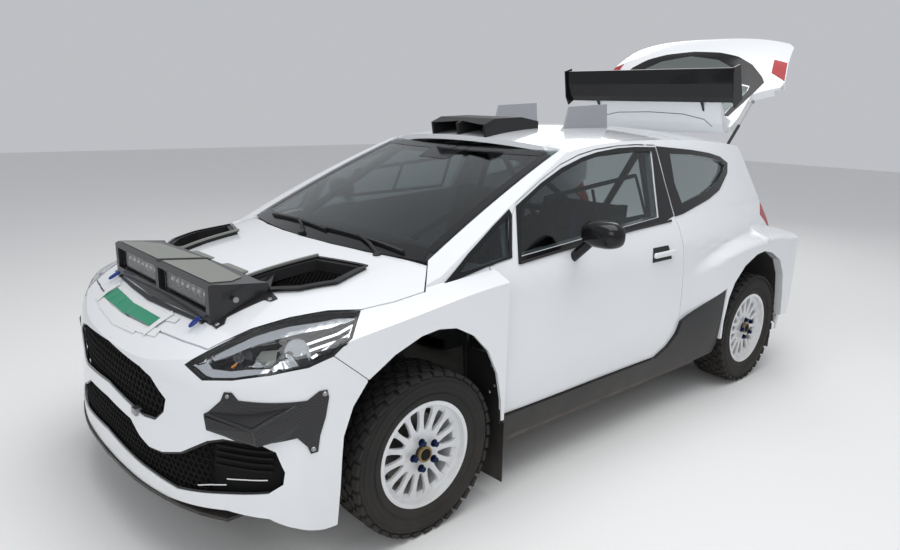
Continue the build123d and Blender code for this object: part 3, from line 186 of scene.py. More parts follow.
def add_node(tree, kind, links=(), **values):
    """Add a node, set its properties and sockets, and link outputs to its inputs."""
    node = tree.nodes.new(kind)
    for key, value in values.items():
        if key in node.inputs.keys():
            node.inputs[key].default_value = value
        else:
            setattr(node, key, value)
    for socket, source in links:
        tree.links.new(source, node.inputs[socket])
    return node


def feed(tree, value, socket):
    """Give a socket a plain value, or link another node's output to it."""
    if isinstance(value, (int, float, tuple)):
        socket.default_value = value
    else:
        tree.links.new(value, socket)


def math_node(tree, operation, *operands):
    """A Math node whose operands are numbers or sockets."""
    node = add_node(tree, "ShaderNodeMath", operation=operation)
    for place, operand in enumerate(operands):
        feed(tree, operand, node.inputs[place])
    return node.outputs[0]


def mix_colour(tree, share, first, second):
    """A mix of two colours; a colour mix reads them at inputs 6 and 7 and answers at output 2."""
    node = add_node(tree, "ShaderNodeMix", [(0, share)], data_type="RGBA")
    feed(tree, first, node.inputs[6])
    feed(tree, second, node.inputs[7])
    return node.outputs[2]


print("node groups so far:", len(bpy.data.node_groups))

# %% [markdown]
# The grain gives plastic and paint a fine relief, and a slow cloud that varies colour and gloss. The weave
# is a small chequer with fibres on it. The dust mask is noise that fades out at a height over the ground.

# %% Shader groups
grain_group, grain_in, grain_out = new_group("surface_grain", [("Scale", 400.0), ("Detail", 3.0)],
                                             ["Height", "Cloud"])
grain_place = grain_group.nodes.new("ShaderNodeTexCoord").outputs["Object"]
grain_links = [("Vector", grain_place), ("Scale", grain_in.outputs["Scale"]),
               ("Detail", grain_in.outputs["Detail"])]
fine = add_node(grain_group, "ShaderNodeTexNoise", grain_links)
cloud = add_node(grain_group, "ShaderNodeTexNoise", [("Vector", grain_place)], Scale=3.5, Detail=4.0)
grain_group.links.new(fine.outputs[0], grain_out.inputs["Height"])
grain_group.links.new(cloud.outputs[0], grain_out.inputs["Cloud"])

weave_group, weave_in, weave_out = new_group("twill_weave", [("Scale", 250.0)], ["Tow", "Height"])
weave_place = weave_group.nodes.new("ShaderNodeTexCoord").outputs["Object"]
checks = add_node(weave_group, "ShaderNodeTexChecker", [("Vector", weave_place),
                                                       ("Scale", weave_in.outputs["Scale"])])
fibres = add_node(weave_group, "ShaderNodeTexNoise", [("Vector", weave_place)], Scale=1800.0)
relief = math_node(weave_group, "ADD", checks.outputs["Fac"], fibres.outputs[0])
weave_group.links.new(checks.outputs["Fac"], weave_out.inputs["Tow"])
weave_group.links.new(relief, weave_out.inputs["Height"])

dust_group, dust_in, dust_out = new_group("road_dust", [("Top", 0.45), ("Amount", 0.35)], ["Mask"])
dust_place = dust_group.nodes.new("ShaderNodeTexCoord").outputs["Object"]
dust_split = add_node(dust_group, "ShaderNodeSeparateXYZ", [("Vector", dust_place)])
dust_noise = add_node(dust_group, "ShaderNodeTexNoise", [("Vector", dust_place)], Scale=9.0, Detail=6.0)
share_up = math_node(dust_group, "DIVIDE", dust_split.outputs["Z"], dust_in.outputs["Top"])
low_part = add_node(dust_group, "ShaderNodeClamp",
                    [("Value", math_node(dust_group, "SUBTRACT", 1.0, share_up))])
specks = math_node(dust_group, "MULTIPLY", dust_noise.outputs[0], dust_in.outputs["Amount"])
dusty = math_node(dust_group, "MULTIPLY", low_part.outputs[0], specks)
dust_group.links.new(math_node(dust_group, "MULTIPLY", dusty, 2.0), dust_out.inputs["Mask"])
print("groups:", [g.name for g in bpy.data.node_groups])

# %% [markdown]
# One function makes nearly every finish. It sets the uniform values on the shader's own sockets, and lets
# the groups vary the colour and the roughness, because real paint, plastic and rubber are never perfectly
# even. Glass is simpler: it lets light through and needs no grain.

# %% Functions for finishes
DUST_COLOUR = (0.34, 0.29, 0.23, 1)
COAT_ROUGHNESS = 0.04
GLASS_ROUGHNESS = 0.03
BUMP_DEPTH = 0.001
# The cloud moves a finish's roughness between these shares of its value
ROUGH_LOW, ROUGH_HIGH = 0.85, 1.15


def finish(name, colour, rough=0.4, metallic=0.0, coat=0.0, bump=0.0, grain=400.0, vary=0.06, dust=0.0,
           dust_top=0.45, weave=0.0, weave_colour=None, **sockets):
    """A material with grain, an optional weave and optional road dust."""
    material = bpy.data.materials.new(name)
    tree, shader = node_tree(material)
    shader.inputs["Metallic"].default_value = metallic
    shader.inputs["Coat Weight"].default_value = coat
    shader.inputs["Coat Roughness"].default_value = COAT_ROUGHNESS
    for socket, value in sockets.items():
        shader.inputs[socket.replace("_", " ")].default_value = value
    noise = add_node(tree, "ShaderNodeGroup", node_tree=grain_group, Scale=grain)
    dark = tuple(c * (1 - vary) for c in colour) + (1,)
    light = tuple(min(1.0, c * (1 + vary)) for c in colour) + (1,)
    result = mix_colour(tree, noise.outputs["Cloud"], dark, light)
    height = noise.outputs["Height"]
    if weave:
        cloth = add_node(tree, "ShaderNodeGroup", node_tree=weave_group, Scale=weave)
        result = mix_colour(tree, cloth.outputs["Tow"], result, (*weave_colour, 1))
        height = cloth.outputs["Height"]
    if dust:
        mask = add_node(tree, "ShaderNodeGroup", node_tree=dust_group, Top=dust_top, Amount=dust)
        result = mix_colour(tree, mask.outputs["Mask"], result, DUST_COLOUR)
    tree.links.new(result, shader.inputs["Base Color"])
    spread = add_node(tree, "ShaderNodeMapRange", [("Value", noise.outputs["Cloud"])])
    spread.inputs["To Min"].default_value = rough * ROUGH_LOW
    spread.inputs["To Max"].default_value = min(1.0, rough * ROUGH_HIGH)
    tree.links.new(spread.outputs[0], shader.inputs["Roughness"])
    if bump:
        bumpy = add_node(tree, "ShaderNodeBump", [("Height", height)], Strength=bump, Distance=BUMP_DEPTH)
        tree.links.new(bumpy.outputs[0], shader.inputs["Normal"])
    return material


def glass(name, colour, ior=1.45):
    """Clear or tinted glass."""
    material = bpy.data.materials.new(name)
    shader = node_tree(material)[1]
    shader.inputs["Base Color"].default_value = (*colour, 1)
    shader.inputs["Transmission Weight"].default_value = 1.0
    shader.inputs["Roughness"].default_value = GLASS_ROUGHNESS
    shader.inputs["IOR"].default_value = ior
    return material


print("dust colour:", DUST_COLOUR[:3])

# %% [markdown]
# The colours are chosen to look right under the plain studio light. The white paint has a clear coat over
# it, the black plastics differ in gloss more than in colour, and the underbody and the dark steel parts
# carry the most dust.

# %% Materials
white_paint = finish("white_paint", (0.78, 0.80, 0.82), rough=0.22, coat=1.0, vary=0.01, dust=0.10,
                     dust_top=0.5)
wheel_paint = finish("white_wheel_paint", (0.76, 0.78, 0.80), rough=0.35, coat=0.3, vary=0.02, dust=0.3,
                     dust_top=0.6)
satin_black = finish("satin_black_plastic", (0.018, 0.018, 0.019), rough=0.42, bump=0.12, vary=0.15,
                     dust=0.15, Specular_IOR_Level=0.3)
gloss_black = finish("gloss_black", (0.007, 0.007, 0.008), rough=0.16, coat=0.15, vary=0.05,
                     Specular_IOR_Level=0.3)
matt_black = finish("matt_black", (0.008, 0.008, 0.008), rough=0.8, bump=0.2, vary=0.2,
                    Specular_IOR_Level=0.2)
rubber = finish("black_rubber", (0.016, 0.016, 0.016), rough=0.6, bump=0.15, vary=0.2, dust=0.25)
tyre_rubber = finish("tyre_rubber", (0.012, 0.012, 0.012), rough=0.72, bump=0.3, grain=700, vary=0.25,
                     dust=0.06, dust_top=0.75, Specular_IOR_Level=0.3)
carbon = finish("carbon_fibre", (0.007, 0.007, 0.008), rough=0.38, coat=0.35, bump=0.1, weave=170,
                weave_colour=(0.022, 0.022, 0.024), Specular_IOR_Level=0.35)
cage_paint = finish("cage_paint", (0.02, 0.02, 0.022), rough=0.3, coat=0.2)
underbody_paint = finish("underbody_paint", (0.03, 0.03, 0.032), rough=0.65, bump=0.2, dust=0.4, dust_top=0.5)
steel = finish("brushed_steel", (0.36, 0.36, 0.37), rough=0.38, metallic=1.0, bump=0.1)
dark_steel = finish("dark_steel", (0.10, 0.10, 0.105), rough=0.45, metallic=0.8, bump=0.15, dust=0.4,
                    dust_top=0.6)
cast_metal = finish("cast_metal", (0.16, 0.16, 0.165), rough=0.6, metallic=0.7, bump=0.4, grain=220)
bronze = finish("bronze_hub", (0.30, 0.21, 0.10), rough=0.4, metallic=0.9, bump=0.1)
blue_metal = finish("blue_anodised", (0.012, 0.022, 0.07), rough=0.25, metallic=0.9)
chrome = finish("bright_chrome", (0.72, 0.73, 0.75), rough=0.08, metallic=1.0, vary=0.02)
fin_grey = finish("fin_grey", (0.30, 0.31, 0.33), rough=0.35, coat=0.4)
seat_cloth = finish("seat_cloth", (0.02, 0.02, 0.022), rough=0.85, bump=0.5, weave=900,
                    weave_colour=(0.035, 0.035, 0.04), Sheen_Weight=0.3)
plate_green = finish("plate_green", (0.012, 0.24, 0.13), rough=0.4, vary=0.04)
cover_grey = finish("cover_grey", (0.20, 0.21, 0.19), rough=0.5, vary=0.03)
tape_white = finish("white_tape", (0.72, 0.73, 0.73), rough=0.45, vary=0.03, bump=0.1)
blue_strap = finish("blue_strap", (0.007, 0.03, 0.22), rough=0.6, bump=0.3, weave=1200,
                    weave_colour=(0.01, 0.045, 0.30))
amber = finish("amber_lens", (0.75, 0.26, 0.02), rough=0.12, coat=0.8)
red_lens = finish("red_lens", (0.36, 0.004, 0.008), rough=0.2, coat=0.2, bump=0.15, grain=180,
                  Specular_IOR_Level=0.3)
# Painted shade: the tailgate pane is opaque, and its dark grey green colour stands for the shaded cabin seen
# through the glass.
pane_painted_shade = finish("tailgate_pane_painted_shade", (0.09, 0.105, 0.10), rough=0.08, coat=0.6, vary=0.02)
cabin_glass = glass("tinted_glass", (0.36, 0.42, 0.42))
lamp_glass = glass("clear_lens", (0.95, 0.97, 0.98), ior=1.3)
print("materials:", len(bpy.data.materials))

# %% [markdown]
# Every CAD node gets a finish here, also those that a finer piece replaces later. One table says which nodes
# share a finish, so that no node is forgotten: the two numbers that the cell prints have to agree.

# %% Finishes of the CAD nodes
NODE_FINISH = {
    white_paint: ["body_sides", "roof", "front_wings", "front_bumper", "rear_bumper", "bonnet", "tailgate",
                  "door_left", "door_right"],
    satin_black: ["sills", "cowl", "bonnet_vents", "dashboard", "mudflaps", "splitter", "roof_scoop",
                  "gas_strut_cylinder_left", "gas_strut_cylinder_right"],
    gloss_black: ["mirror_left", "mirror_right", "rear_wing"],
    matt_black: ["grilles"],
    carbon: ["lamp_pod", "corner_lamps"],
    cabin_glass: ["fixed_glass", "door_glass_left", "door_glass_right", "tailgate_glass"],
    lamp_glass: ["headlamps"],
    red_lens: ["tail_lamps", "tailgate_lamps"],
    cage_paint: ["roll_cage"],
    underbody_paint: ["floor_pan", "inner_wings"],
    dark_steel: ["suspension", "knuckle_left", "knuckle_right", "exhaust"],
    steel: ["steering_rack", "gas_strut_rod_left", "gas_strut_rod_right"],
    cast_metal: ["engine_block"],
    seat_cloth: ["seats"],
    fin_grey: ["roof_fins"],
    rubber: ["steering_wheel"],
    wheel_paint: [n for n in nodes if n.startswith("rim_")],
    tyre_rubber: [n for n in nodes if n.startswith("tyre_")],
}
for material, names in NODE_FINISH.items():
    for name in names:
        for slot in nodes[name].material_slots:
            slot.material = material
print("finished nodes:", sum(len(names) for names in NODE_FINISH.values()), "of", len(nodes))

# %% [markdown]
# Many fine pieces lie on a curved panel: rubber strips, tape, flanges, a number plate. The way to place
# them is to draw them flat in front of the panel and to let rays carry each point onto it. A BVH tree
# answers those rays fast. Lifting each point a millimetre along the panel's normal keeps the piece from
# sinking in.

# %% Rays onto panels
SIDES = (("left", 1), ("right", -1))
BACK = (-1, 0, 0)
DOWN = (0, 0, -1)
RAY_REACH = 4.0
BRIDGE_STEP = 0.006


def surface(*names):
    """A search tree over the faces of some CAD nodes."""
    bm = bmesh.new()
    for name in names:
        bm.from_mesh(nodes[name].data)
    tree = BVHTree.FromBMesh(bm)
    bm.free()
    return tree


def land(tree, point, way, lift):
    """Carry a point along a ray onto the surface and lift it off by a distance."""
    way = Vector(way).normalized()
    hit, normal, _, _ = tree.ray_cast(Vector(point), way, RAY_REACH)
    if hit is None:
        hit, normal, _, _ = tree.find_nearest(Vector(point))
    if normal.dot(way) > 0:
        normal = -normal
    return hit + normal * lift, normal


def span(tree, point, way, lift):
    """Land where most of five points in a row do, so that a sheet bridges a narrow joint."""
    way = Vector(way).normalized()
    start = Vector(point)
    found = [land(tree, start + Vector((BRIDGE_STEP * k, 0, 0)), way, lift) for k in (-2, -1, 0, 1, 2)]
    hit, normal = sorted(found, key=lambda pair: pair[0].dot(way))[2]
    return start + way * (hit - start).dot(way), normal


def plan(points, side=1, height=1.4):
    """Points of a plan view in mm, in metres on one side of the car at a height above it."""
    return [(x / 1000, side * y / 1000, height) for x, y in points]


front_tree = surface("front_bumper")
bonnet_tree = surface("bonnet")
print("bonnet height in the middle:", round(land(bonnet_tree, (1.5, 0, 1.4), DOWN, 0)[0].z, 3))

# %% [markdown]
# Every finished piece is dressed the same way. It gets its material and the body that it moves with. A sheet
# also gets a wall, away from the panel below it: the Solidify modifier keeps that wall even where the panel
# curves.

# %% Dressing pieces and sheets
SOFT_EDGE_ANGLE = math.radians(35)


def dress(obj, material, body="body", smooth=False, bevel=0.0):
    """Give a finished piece its material, its body and its soft edges."""
    obj.data.materials.append(material)
    if smooth:
        for face in obj.data.polygons:
            face.use_smooth = True
    if bevel:
        soft = obj.modifiers.new("soft edges", "BEVEL")
        soft.width = bevel
        soft.segments = 2
        soft.limit_method = "ANGLE"
        soft.angle_limit = SOFT_EDGE_ANGLE
    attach(obj, body)
    return obj


def sheet_object(name, bm, way, thick):
    """Turn a laid sheet into an object that looks against its rays and has a wall."""
    bmesh.ops.recalc_face_normals(bm, faces=bm.faces)
    if sum(f.normal.dot(Vector(way)) * f.calc_area() for f in bm.faces) > 0:
        bmesh.ops.reverse_faces(bm, faces=bm.faces)
    mesh = bpy.data.meshes.new(name)
    bm.to_mesh(mesh)
    bm.free()
    sheet = link(bpy.data.objects.new(name, mesh))
    wall = sheet.modifiers.new("thickness", "SOLIDIFY")
    wall.thickness = thick
    wall.offset = 1.0
    return sheet


print("edges sharper than", round(math.degrees(SOFT_EDGE_ANGLE)), "degrees can be softened")

# %% [markdown]
# Two kinds of sheet cover nearly everything that is laid on. A ribbon follows a line at an even width. A
# patch has a free outline, and it is cut into small faces first, so that it can bend with the panel.

# %% Ribbons and patches
def resample(points, pitch, closed=False):
    """Points at an even pitch along a polyline."""
    run = [Vector(p) for p in points]
    if closed:
        run.append(run[0])
    result = []
    for a, b in zip(run, run[1:]):
        count = max(1, round((b - a).length / pitch))
        result += [a.lerp(b, k / count) for k in range(count)]
    if not closed:
        result.append(run[-1])
    return result


def ribbon(name, landed, way, width, thick, closed):
    """A sheet of even width along places, each given with its upward direction."""
    bm = bmesh.new()
    rows = []
    count = len(landed)
    for k, (place, up) in enumerate(landed):
        before = landed[k - 1][0] if k or closed else place
        after = landed[(k + 1) % count][0] if k < count - 1 or closed else place
        side = up.cross(after - before).normalized() * width / 2
        rows.append((bm.verts.new(place - side), bm.verts.new(place + side)))
    for k in range(count if closed else count - 1):
        a, b = rows[k], rows[(k + 1) % count]
        bm.faces.new((a[0], b[0], b[1], a[1]))
    return sheet_object(name, bm, way, thick)


def strip(name, tree, points, way, width, material, body="body", lift=0.001, thick=0.003, closed=False,
          pitch=0.02, rule=land):
    """A ribbon laid on a surface along a line."""
    landed = [rule(tree, p, way, lift) for p in resample(points, pitch, closed)]
    return dress(ribbon(name, landed, way, width, thick, closed), material, body)


def closed_run(bm, points):
    """Add points joined by edges in a closed run."""
    verts = [bm.verts.new(p) for p in points]
    return verts, [bm.edges.new(pair) for pair in zip(verts, verts[1:] + verts[:1])]


def dice(bm, axis, pitch):
    """Cut a flat sheet across an axis, at an even pitch."""
    reach = [v.co.dot(axis) for v in bm.verts]
    low, high = min(reach), max(reach)
    steps = max(1, int((high - low) / pitch))
    for k in range(1, steps):
        bmesh.ops.bisect_plane(bm, geom=bm.verts[:] + bm.edges[:] + bm.faces[:],
                               plane_co=axis * (low + (high - low) * k / steps), plane_no=axis)


def patch(name, tree, outline, way, material, body="body", lift=0.001, thick=0.002, pitch=0.02,
          bevel=0.0, rule=land, hole=None):
    """A sheet with a free outline and at most one hole, laid on a surface."""
    bm = bmesh.new()
    way = Vector(way).normalized()
    if hole:
        rims = closed_run(bm, outline)[1] + closed_run(bm, hole)[1]
        bmesh.ops.triangle_fill(bm, edges=rims, use_beauty=True, normal=-way)
    else:
        bm.faces.new([bm.verts.new(p) for p in outline])
    first = way.orthogonal().normalized()
    for axis in (first, way.cross(first)):
        dice(bm, axis, pitch)
    bmesh.ops.triangulate(bm, faces=bm.faces)
    for vert in bm.verts:
        vert.co = rule(tree, vert.co, way, lift)[0]
    return dress(sheet_object(name, bm, way, thick), material, body, bevel=bevel)


print("a metre at a pitch of 20 mm takes", len(resample([(0, 0, 0), (1, 0, 0)], 0.02)), "points")

# %% [markdown]
# Small solid parts start from Blender's own cube, cone and circle. They are placed by a matrix that turns
# their upright axis to the direction in which the real part points.

# %% Blocks, discs, bars and hoops
def block(name, low, high, material, body="body", bevel=0.003):
    """A box between two opposite corners, with rounded edges."""
    bm = bmesh.new()
    bmesh.ops.create_cube(bm, size=1.0)
    size = [abs(c) for c in Vector(high) - Vector(low)]
    bmesh.ops.scale(bm, vec=size, verts=bm.verts)
    bmesh.ops.bevel(bm, geom=bm.edges[:], offset=min(bevel, min(size) * 0.45), affect="EDGES", segments=2,
                    profile=0.5, material=-1)
    bmesh.ops.translate(bm, vec=(Vector(high) + Vector(low)) / 2, verts=bm.verts)
    return dress(mesh_object(name, bm), material, body)


def place_along(way, place):
    """A matrix that turns +Z to a direction and moves the origin to a place."""
    return Matrix.Translation(place) @ Vector(way).to_track_quat("Z", "Y").to_matrix().to_4x4()


def disc(bm, place, way, radius, depth, sides=24, top=None):
    """Add a cylinder or cone whose base lies at a place and that rises along a direction."""
    matrix = place_along(way, Vector(place) + Vector(way).normalized() * depth / 2)
    bmesh.ops.create_cone(bm, cap_ends=True, segments=sides, radius1=radius,
                          radius2=radius if top is None else top, depth=depth, matrix=matrix)


def bar(bm, start, end, radius, sides=12):
    """Add a round bar between two points."""
    way = Vector(end) - Vector(start)
    disc(bm, start, way, radius, way.length, sides)


def hoop(name, points, radius, material, body):
    """A smooth round tube through a closed run of points."""
    bm = bmesh.new()
    count = len(points)
    rings = []
    for k, place in enumerate(points):
        way = points[(k + 1) % count] - points[k - 1]
        made = bmesh.ops.create_circle(bm, segments=10, radius=radius, matrix=place_along(way, place))
        rings.append(list({e for v in made["verts"] for e in v.link_edges}))
    for k in range(count):
        bmesh.ops.bridge_loops(bm, edges=rings[k] + rings[(k + 1) % count])
    return dress(mesh_object(name, bm), material, body, smooth=True)


def sided(points, side):
    """Points of the left side, moved to the right one where side is -1."""
    return [(x, side * y, z) for x, y, z in points]


def made_verts(result):
    """The new vertices in an operator's answer."""
    return [v for v in result["geom"] if isinstance(v, bmesh.types.BMVert)]


print("a bar along +Y turns its axis to", place_along((0, 1, 0), (0, 0, 0)).col[2].to_3d()[:])

# %% [markdown]
# The body side curves in two directions: inwards to the roof, and in again towards tail and nose. The same
# table that shaped it in CAD gives its half width at any place, so an outline drawn in side view can be put
# on it without rays, also across an open window.

# %% The body side's own curve
# Half width at each height, in mm, amidships
FLANK = [(100, 826), (300, 850), (430, 861), (600, 862), (750, 857), (890, 843), (960, 821), (1030, 791),
         (1180, 731), (1290, 684), (1392, 638), (1480, 590), (1600, 520)]
# How the plan view narrows, in mm: where it starts, over which length, and by how much there
TAIL_START, TAIL_LENGTH, TAIL_TAPER = -500, 1140, 95
NOSE_START, NOSE_LENGTH, NOSE_TAPER = 700, 500, 30


def along(table, place):
    """Smooth value of a two-column table at a place."""
    k = max(i for i in range(len(table) - 1) if table[i][0] <= place or i == 0)
    slopes = [(table[min(i + 1, len(table) - 1)][1] - table[max(i - 1, 0)][1])
              / (table[min(i + 1, len(table) - 1)][0] - table[max(i - 1, 0)][0]) for i in (k, k + 1)]
    step = table[k + 1][0] - table[k][0]
    t = (place - table[k][0]) / step
    return ((2 * t**3 - 3 * t**2 + 1) * table[k][1] + (t**3 - 2 * t**2 + t) * slopes[0] * step
            + (3 * t**2 - 2 * t**3) * table[k + 1][1] + (t**3 - t**2) * slopes[1] * step)


def flank(x, z):
    """Half width of the body side at a place along the car and a height, in mm."""
    taper = (TAIL_TAPER * (max(0, TAIL_START - x) / TAIL_LENGTH) ** 2.2
             + NOSE_TAPER * (max(0, x - NOSE_START) / NOSE_LENGTH) ** 2)
    return along(FLANK, z) - taper


def on_side(points, side, pitch, closed=False, lift=2.0):
    """A side-view line in mm, resampled and placed just outside the body side, in metres."""
    line = resample([(x, 0, z) for x, z in points], pitch, closed)
    return [Vector((p.x, side * (flank(p.x, p.z) + lift), p.z)) / 1000 for p in line]


print("half width at the waist:", round(flank(0, 890)), "mm")

# %% [markdown]
# Each side window sits in a black rubber frame, and the panel round the glass is printed black. The frame
# is the ring between two outlines, filled with triangles and given a thin wall. The fixed front light ahead
# of the door and the quarter window behind it get rings of the same kind.

# %% Window frames
DOOR_WINDOW = [(695, 985), (622, 1172), (470, 1238), (308, 1292), (150, 1332), (38, 1350), (-140, 1363),
               (-288, 1366), (-424, 1362), (-380, 1218), (-336, 1050)]
DOOR_FRAME = [(720, 958), (655, 1177), (470, 1256), (308, 1312), (150, 1350), (28, 1370), (-140, 1384),
              (-288, 1387), (-466, 1382), (-462, 1214), (-471, 1045), (-400, 1030), (-336, 1022)]
FRONT_LIGHT = [(1028, 961), (981, 996), (820, 1082), (711, 1140), (764, 993)]
LIGHT_FRAME = [(1120, 928), (965, 1026), (811, 1112), (700, 1168), (691, 1147), (748, 986), (876, 971)]
QUARTER_WINDOW = [(-583, 1346), (-815, 1334), (-1000, 1312), (-1120, 1290), (-1170, 1264), (-1122, 1234),
                  (-994, 1178), (-856, 1143), (-576, 1098), (-552, 1200)]
QUARTER_FRAME = [(-478, 1386), (-815, 1360), (-1010, 1338), (-1140, 1314), (-1222, 1276), (-1180, 1222),
                 (-1016, 1138), (-870, 1102), (-560, 1048), (-483, 1042), (-474, 1214)]


def frame_ring(name, outer, inner, side, body):
    """A flat black frame between two outlines on the car's side."""
    bm = bmesh.new()
    edges = []
    for outline in (outer, inner):
        edges += closed_run(bm, on_side(outline, side, 25, closed=True))[1]
    bmesh.ops.triangle_fill(bm, edges=edges, use_beauty=True)
    return dress(sheet_object(name, bm, (0, -side, 0), 0.002), gloss_black, body)


for name, side in SIDES:
    frame_ring(f"window_frame_{name}", DOOR_FRAME, DOOR_WINDOW, side, f"door_{name}")
    frame_ring(f"quarter_frame_{name}", QUARTER_FRAME, QUARTER_WINDOW, side, "body")
    frame_ring(f"light_frame_{name}", LIGHT_FRAME, FRONT_LIGHT, side, "body")

# %% [markdown]
# The door's plastic pane has a sliding panel in its own frame, which lies about two centimetres inside the
# body side's curve, and a rubber seal runs along the window sill. The handle is a smooth white bar over a
# flat black patch, painted shade that stands for its dark recess.

# %% Sliding panels, seals and handles
SLIDER_FRAME = [(470, 1040), (-260, 1060), (-260, 1250), (440, 1190)]
SLIDER_RAIL = [(130, 1052), (110, 1205)]
SILL_SEAL = [(712, 962), (350, 988), (0, 1010), (-440, 1026)]
HANDLE_RECESS_SHADE = [(-215, 846), (-230, 915), (-365, 915), (-388, 846)]


def side_strip(name, points, side, width, material, body, lift, thick, closed=False):
    """A ribbon along the body side that follows its curve without rays."""
    up = Vector((0, side, 0.4)).normalized()
    line = [(place, up) for place in on_side(points, side, 20, closed, lift)]
    return dress(ribbon(name, line, (0, -side, 0), width, thick, closed), material, body)


for name, side in SIDES:
    door = f"door_{name}"
    side_strip(f"slider_frame_{name}", SLIDER_FRAME, side, 0.020, satin_black, door,
               lift=-24.0, thick=0.004, closed=True)
    side_strip(f"slider_rail_{name}", SLIDER_RAIL, side, 0.016, satin_black, door,
               lift=-22.0, thick=0.006)
    side_strip(f"sill_seal_{name}", SILL_SEAL, side, 0.012, rubber, door, lift=3.0,
               thick=0.004)
    block(f"door_handle_{name}", (-0.395, 0.852 * side, 0.868), (-0.215, 0.872 * side, 0.896), white_paint,
          door, bevel=0.009)
    # Painted shade: a flat black patch round the handle stands for the shade in its recess.
    recess = [(x / 1000, 1.05 * side, z / 1000) for x, z in HANDLE_RECESS_SHADE]
    patch(f"handle_recess_painted_shade_{name}", surface(door), recess, (0, -side, 0), satin_black, door,
          lift=0.0006, thick=0.0008)

# %% [markdown]
# The door mirrors are smooth shells: a sphere whose points are pushed outwards towards a box, deeper in
# front than behind. A short arm carries each one from the window's front corner, and a pane faces
# rearwards.

# %% Door mirrors
MIRROR_X, MIRROR_Y, MIRROR_Z = 0.3590, 0.965, 1.064
# How far the shell reaches from there: forwards, backwards, to each side and up or down
MIRROR_REACH = (0.068, 0.027, 0.100, 0.058)
MIRROR_FULLNESS = 0.75
PANE_X = 0.3345
for name, side in SIDES:
    door = f"door_{name}"
    ahead, behind, half_width, half_height = MIRROR_REACH
    bm = bmesh.new()
    bmesh.ops.create_uvsphere(bm, u_segments=40, v_segments=24, radius=1.0)
    for vert in bm.verts:
        full = [math.copysign(abs(c) ** MIRROR_FULLNESS, c) for c in vert.co]
        vert.co = Vector((MIRROR_X + full[0] * (ahead if full[0] > 0 else behind),
                          side * (MIRROR_Y + full[1] * half_width), MIRROR_Z + full[2] * half_height))
    shell = dress(mesh_object(f"mirror_shell_{name}", bm), gloss_black, door, smooth=True)
    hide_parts(f"mirror_{name}")
    bm = bmesh.new()
    bar(bm, (0.366, side * 0.805, 0.930), (0.376, side * 0.925, 1.040), 0.022, 20)
    dress(mesh_object(f"mirror_arm_{name}", bm), gloss_black, door, bevel=0.002)
    bm = bmesh.new()
    disc(bm, (PANE_X, side * MIRROR_Y, MIRROR_Z), BACK, 0.050, 0.003, 40)
    bmesh.ops.scale(bm, vec=(1, 1.60, 0.86), verts=bm.verts,
                    space=Matrix.Translation((-PANE_X, -side * MIRROR_Y, -MIRROR_Z)))
    dress(mesh_object(f"mirror_pane_{name}", bm), chrome, door)
print("mirrors reach", round(MIRROR_Y + MIRROR_REACH[2], 3), "m out")

# %% [markdown]
# Black plastic liners close the front arches behind the wheels, above the mudflaps. They are flat there, so
# a thin rounded block with three small bolts is enough.

# %% Arch liners
LINER_BOLTS = [(0.842, 0.570), (0.862, 0.490), (0.836, 0.455)]
for name, side in SIDES:
    block(f"arch_liner_{name}", (0.8670, 0.700 * side, 0.336), (0.8710, 0.900 * side, 0.610), satin_black,
          bevel=0.001)
    bm = bmesh.new()
    for y, z in LINER_BOLTS:
        disc(bm, (0.8712, y * side, z), (1, 0, 0), 0.007, 0.003, 16, 0.005)
    dress(mesh_object(f"liner_bolts_{name}", bm), steel)
print("liner bolts a side:", len(LINER_BOLTS))

# %% [markdown]
# The grilles are open mesh over a dark cavity. A honeycomb is one hexagon repeated: the hexagon is inset so
# that only its rim is left, the rim is pulled into a short tube, and the copies are laid on the curved
# bumper one by one. Cells whose middle falls outside the opening are left out.

# %% Grilles
# In a hexagon as wide as a cell: the distance between rows and the corners' distance from the middle
ROW_SHARE, CORNER_SHARE = 0.866, 0.5774
# The left halves of the openings seen from the front: distance out and height in mm
GRILLE = [(0, 694), (300, 680), (382, 664), (470, 610), (452, 559), (399, 514), (322, 504), (0, 530)]
INTAKE = [(0, 478), (233, 468), (311, 431), (375, 413), (450, 418), (545, 447), (649, 512), (702, 530),
          (800, 528), (836, 500), (853, 430), (850, 388), (822, 357), (717, 342), (518, 306), (392, 318),
          (0, 345)]


def inside(y, z, outline):
    """True where a point of the front view lies inside an outline that is mirrored to the other side."""
    y = abs(y)
    points = outline + [(-5, outline[-1][1]), (-5, outline[0][1])]
    found = False
    for (ya, za), (yb, zb) in zip(points, points[1:] + points[:1]):
        if (za > z) != (zb > z) and y < (yb - ya) * (z - za) / (zb - za) + ya:
            found = not found
    return found


def add_cell(bm, place, normal, cell, wall, depth):
    """Add one open hexagonal tube that rises along a normal; sizes in mm."""
    turned = place_along(normal, place) @ Matrix.Rotation(math.radians(30), 4, "Z")
    made = bmesh.ops.create_circle(bm, cap_ends=True, segments=6, radius=cell * CORNER_SHARE / 1000,
                                   matrix=turned)
    face = made["verts"][0].link_faces[0]
    ring = bmesh.ops.inset_region(bm, faces=[face], thickness=wall / 2000, depth=0, use_boundary=True,
                                  use_even_offset=True)["faces"]
    bmesh.ops.delete(bm, geom=[face], context="FACES")
    pulled = bmesh.ops.extrude_face_region(bm, geom=ring)
    bmesh.ops.translate(bm, vec=normal * depth / 1000, verts=made_verts(pulled))


def honeycomb(name, tree, outline, cell, wall, depth, sink, reach):
    """Hexagonal cells over an opening, sunk behind the face of the grille."""
    bm = bmesh.new()
    row_step = cell * ROW_SHARE
    low = min(z for _, z in outline)
    high = max(z for _, z in outline)
    for row in range(int((high - low) / row_step) + 1):
        z = low + row * row_step
        shift = cell / 2 if row % 2 else 0
        for column in range(int(2 * reach / cell) + 1):
            y = -reach + column * cell + shift
            if inside(y, z, outline):
                place, normal = land(tree, (3.0, y / 1000, z / 1000), BACK, -sink)
                add_cell(bm, place, normal, cell, wall, depth)
    return dress(mesh_object(name, bm), matt_black)


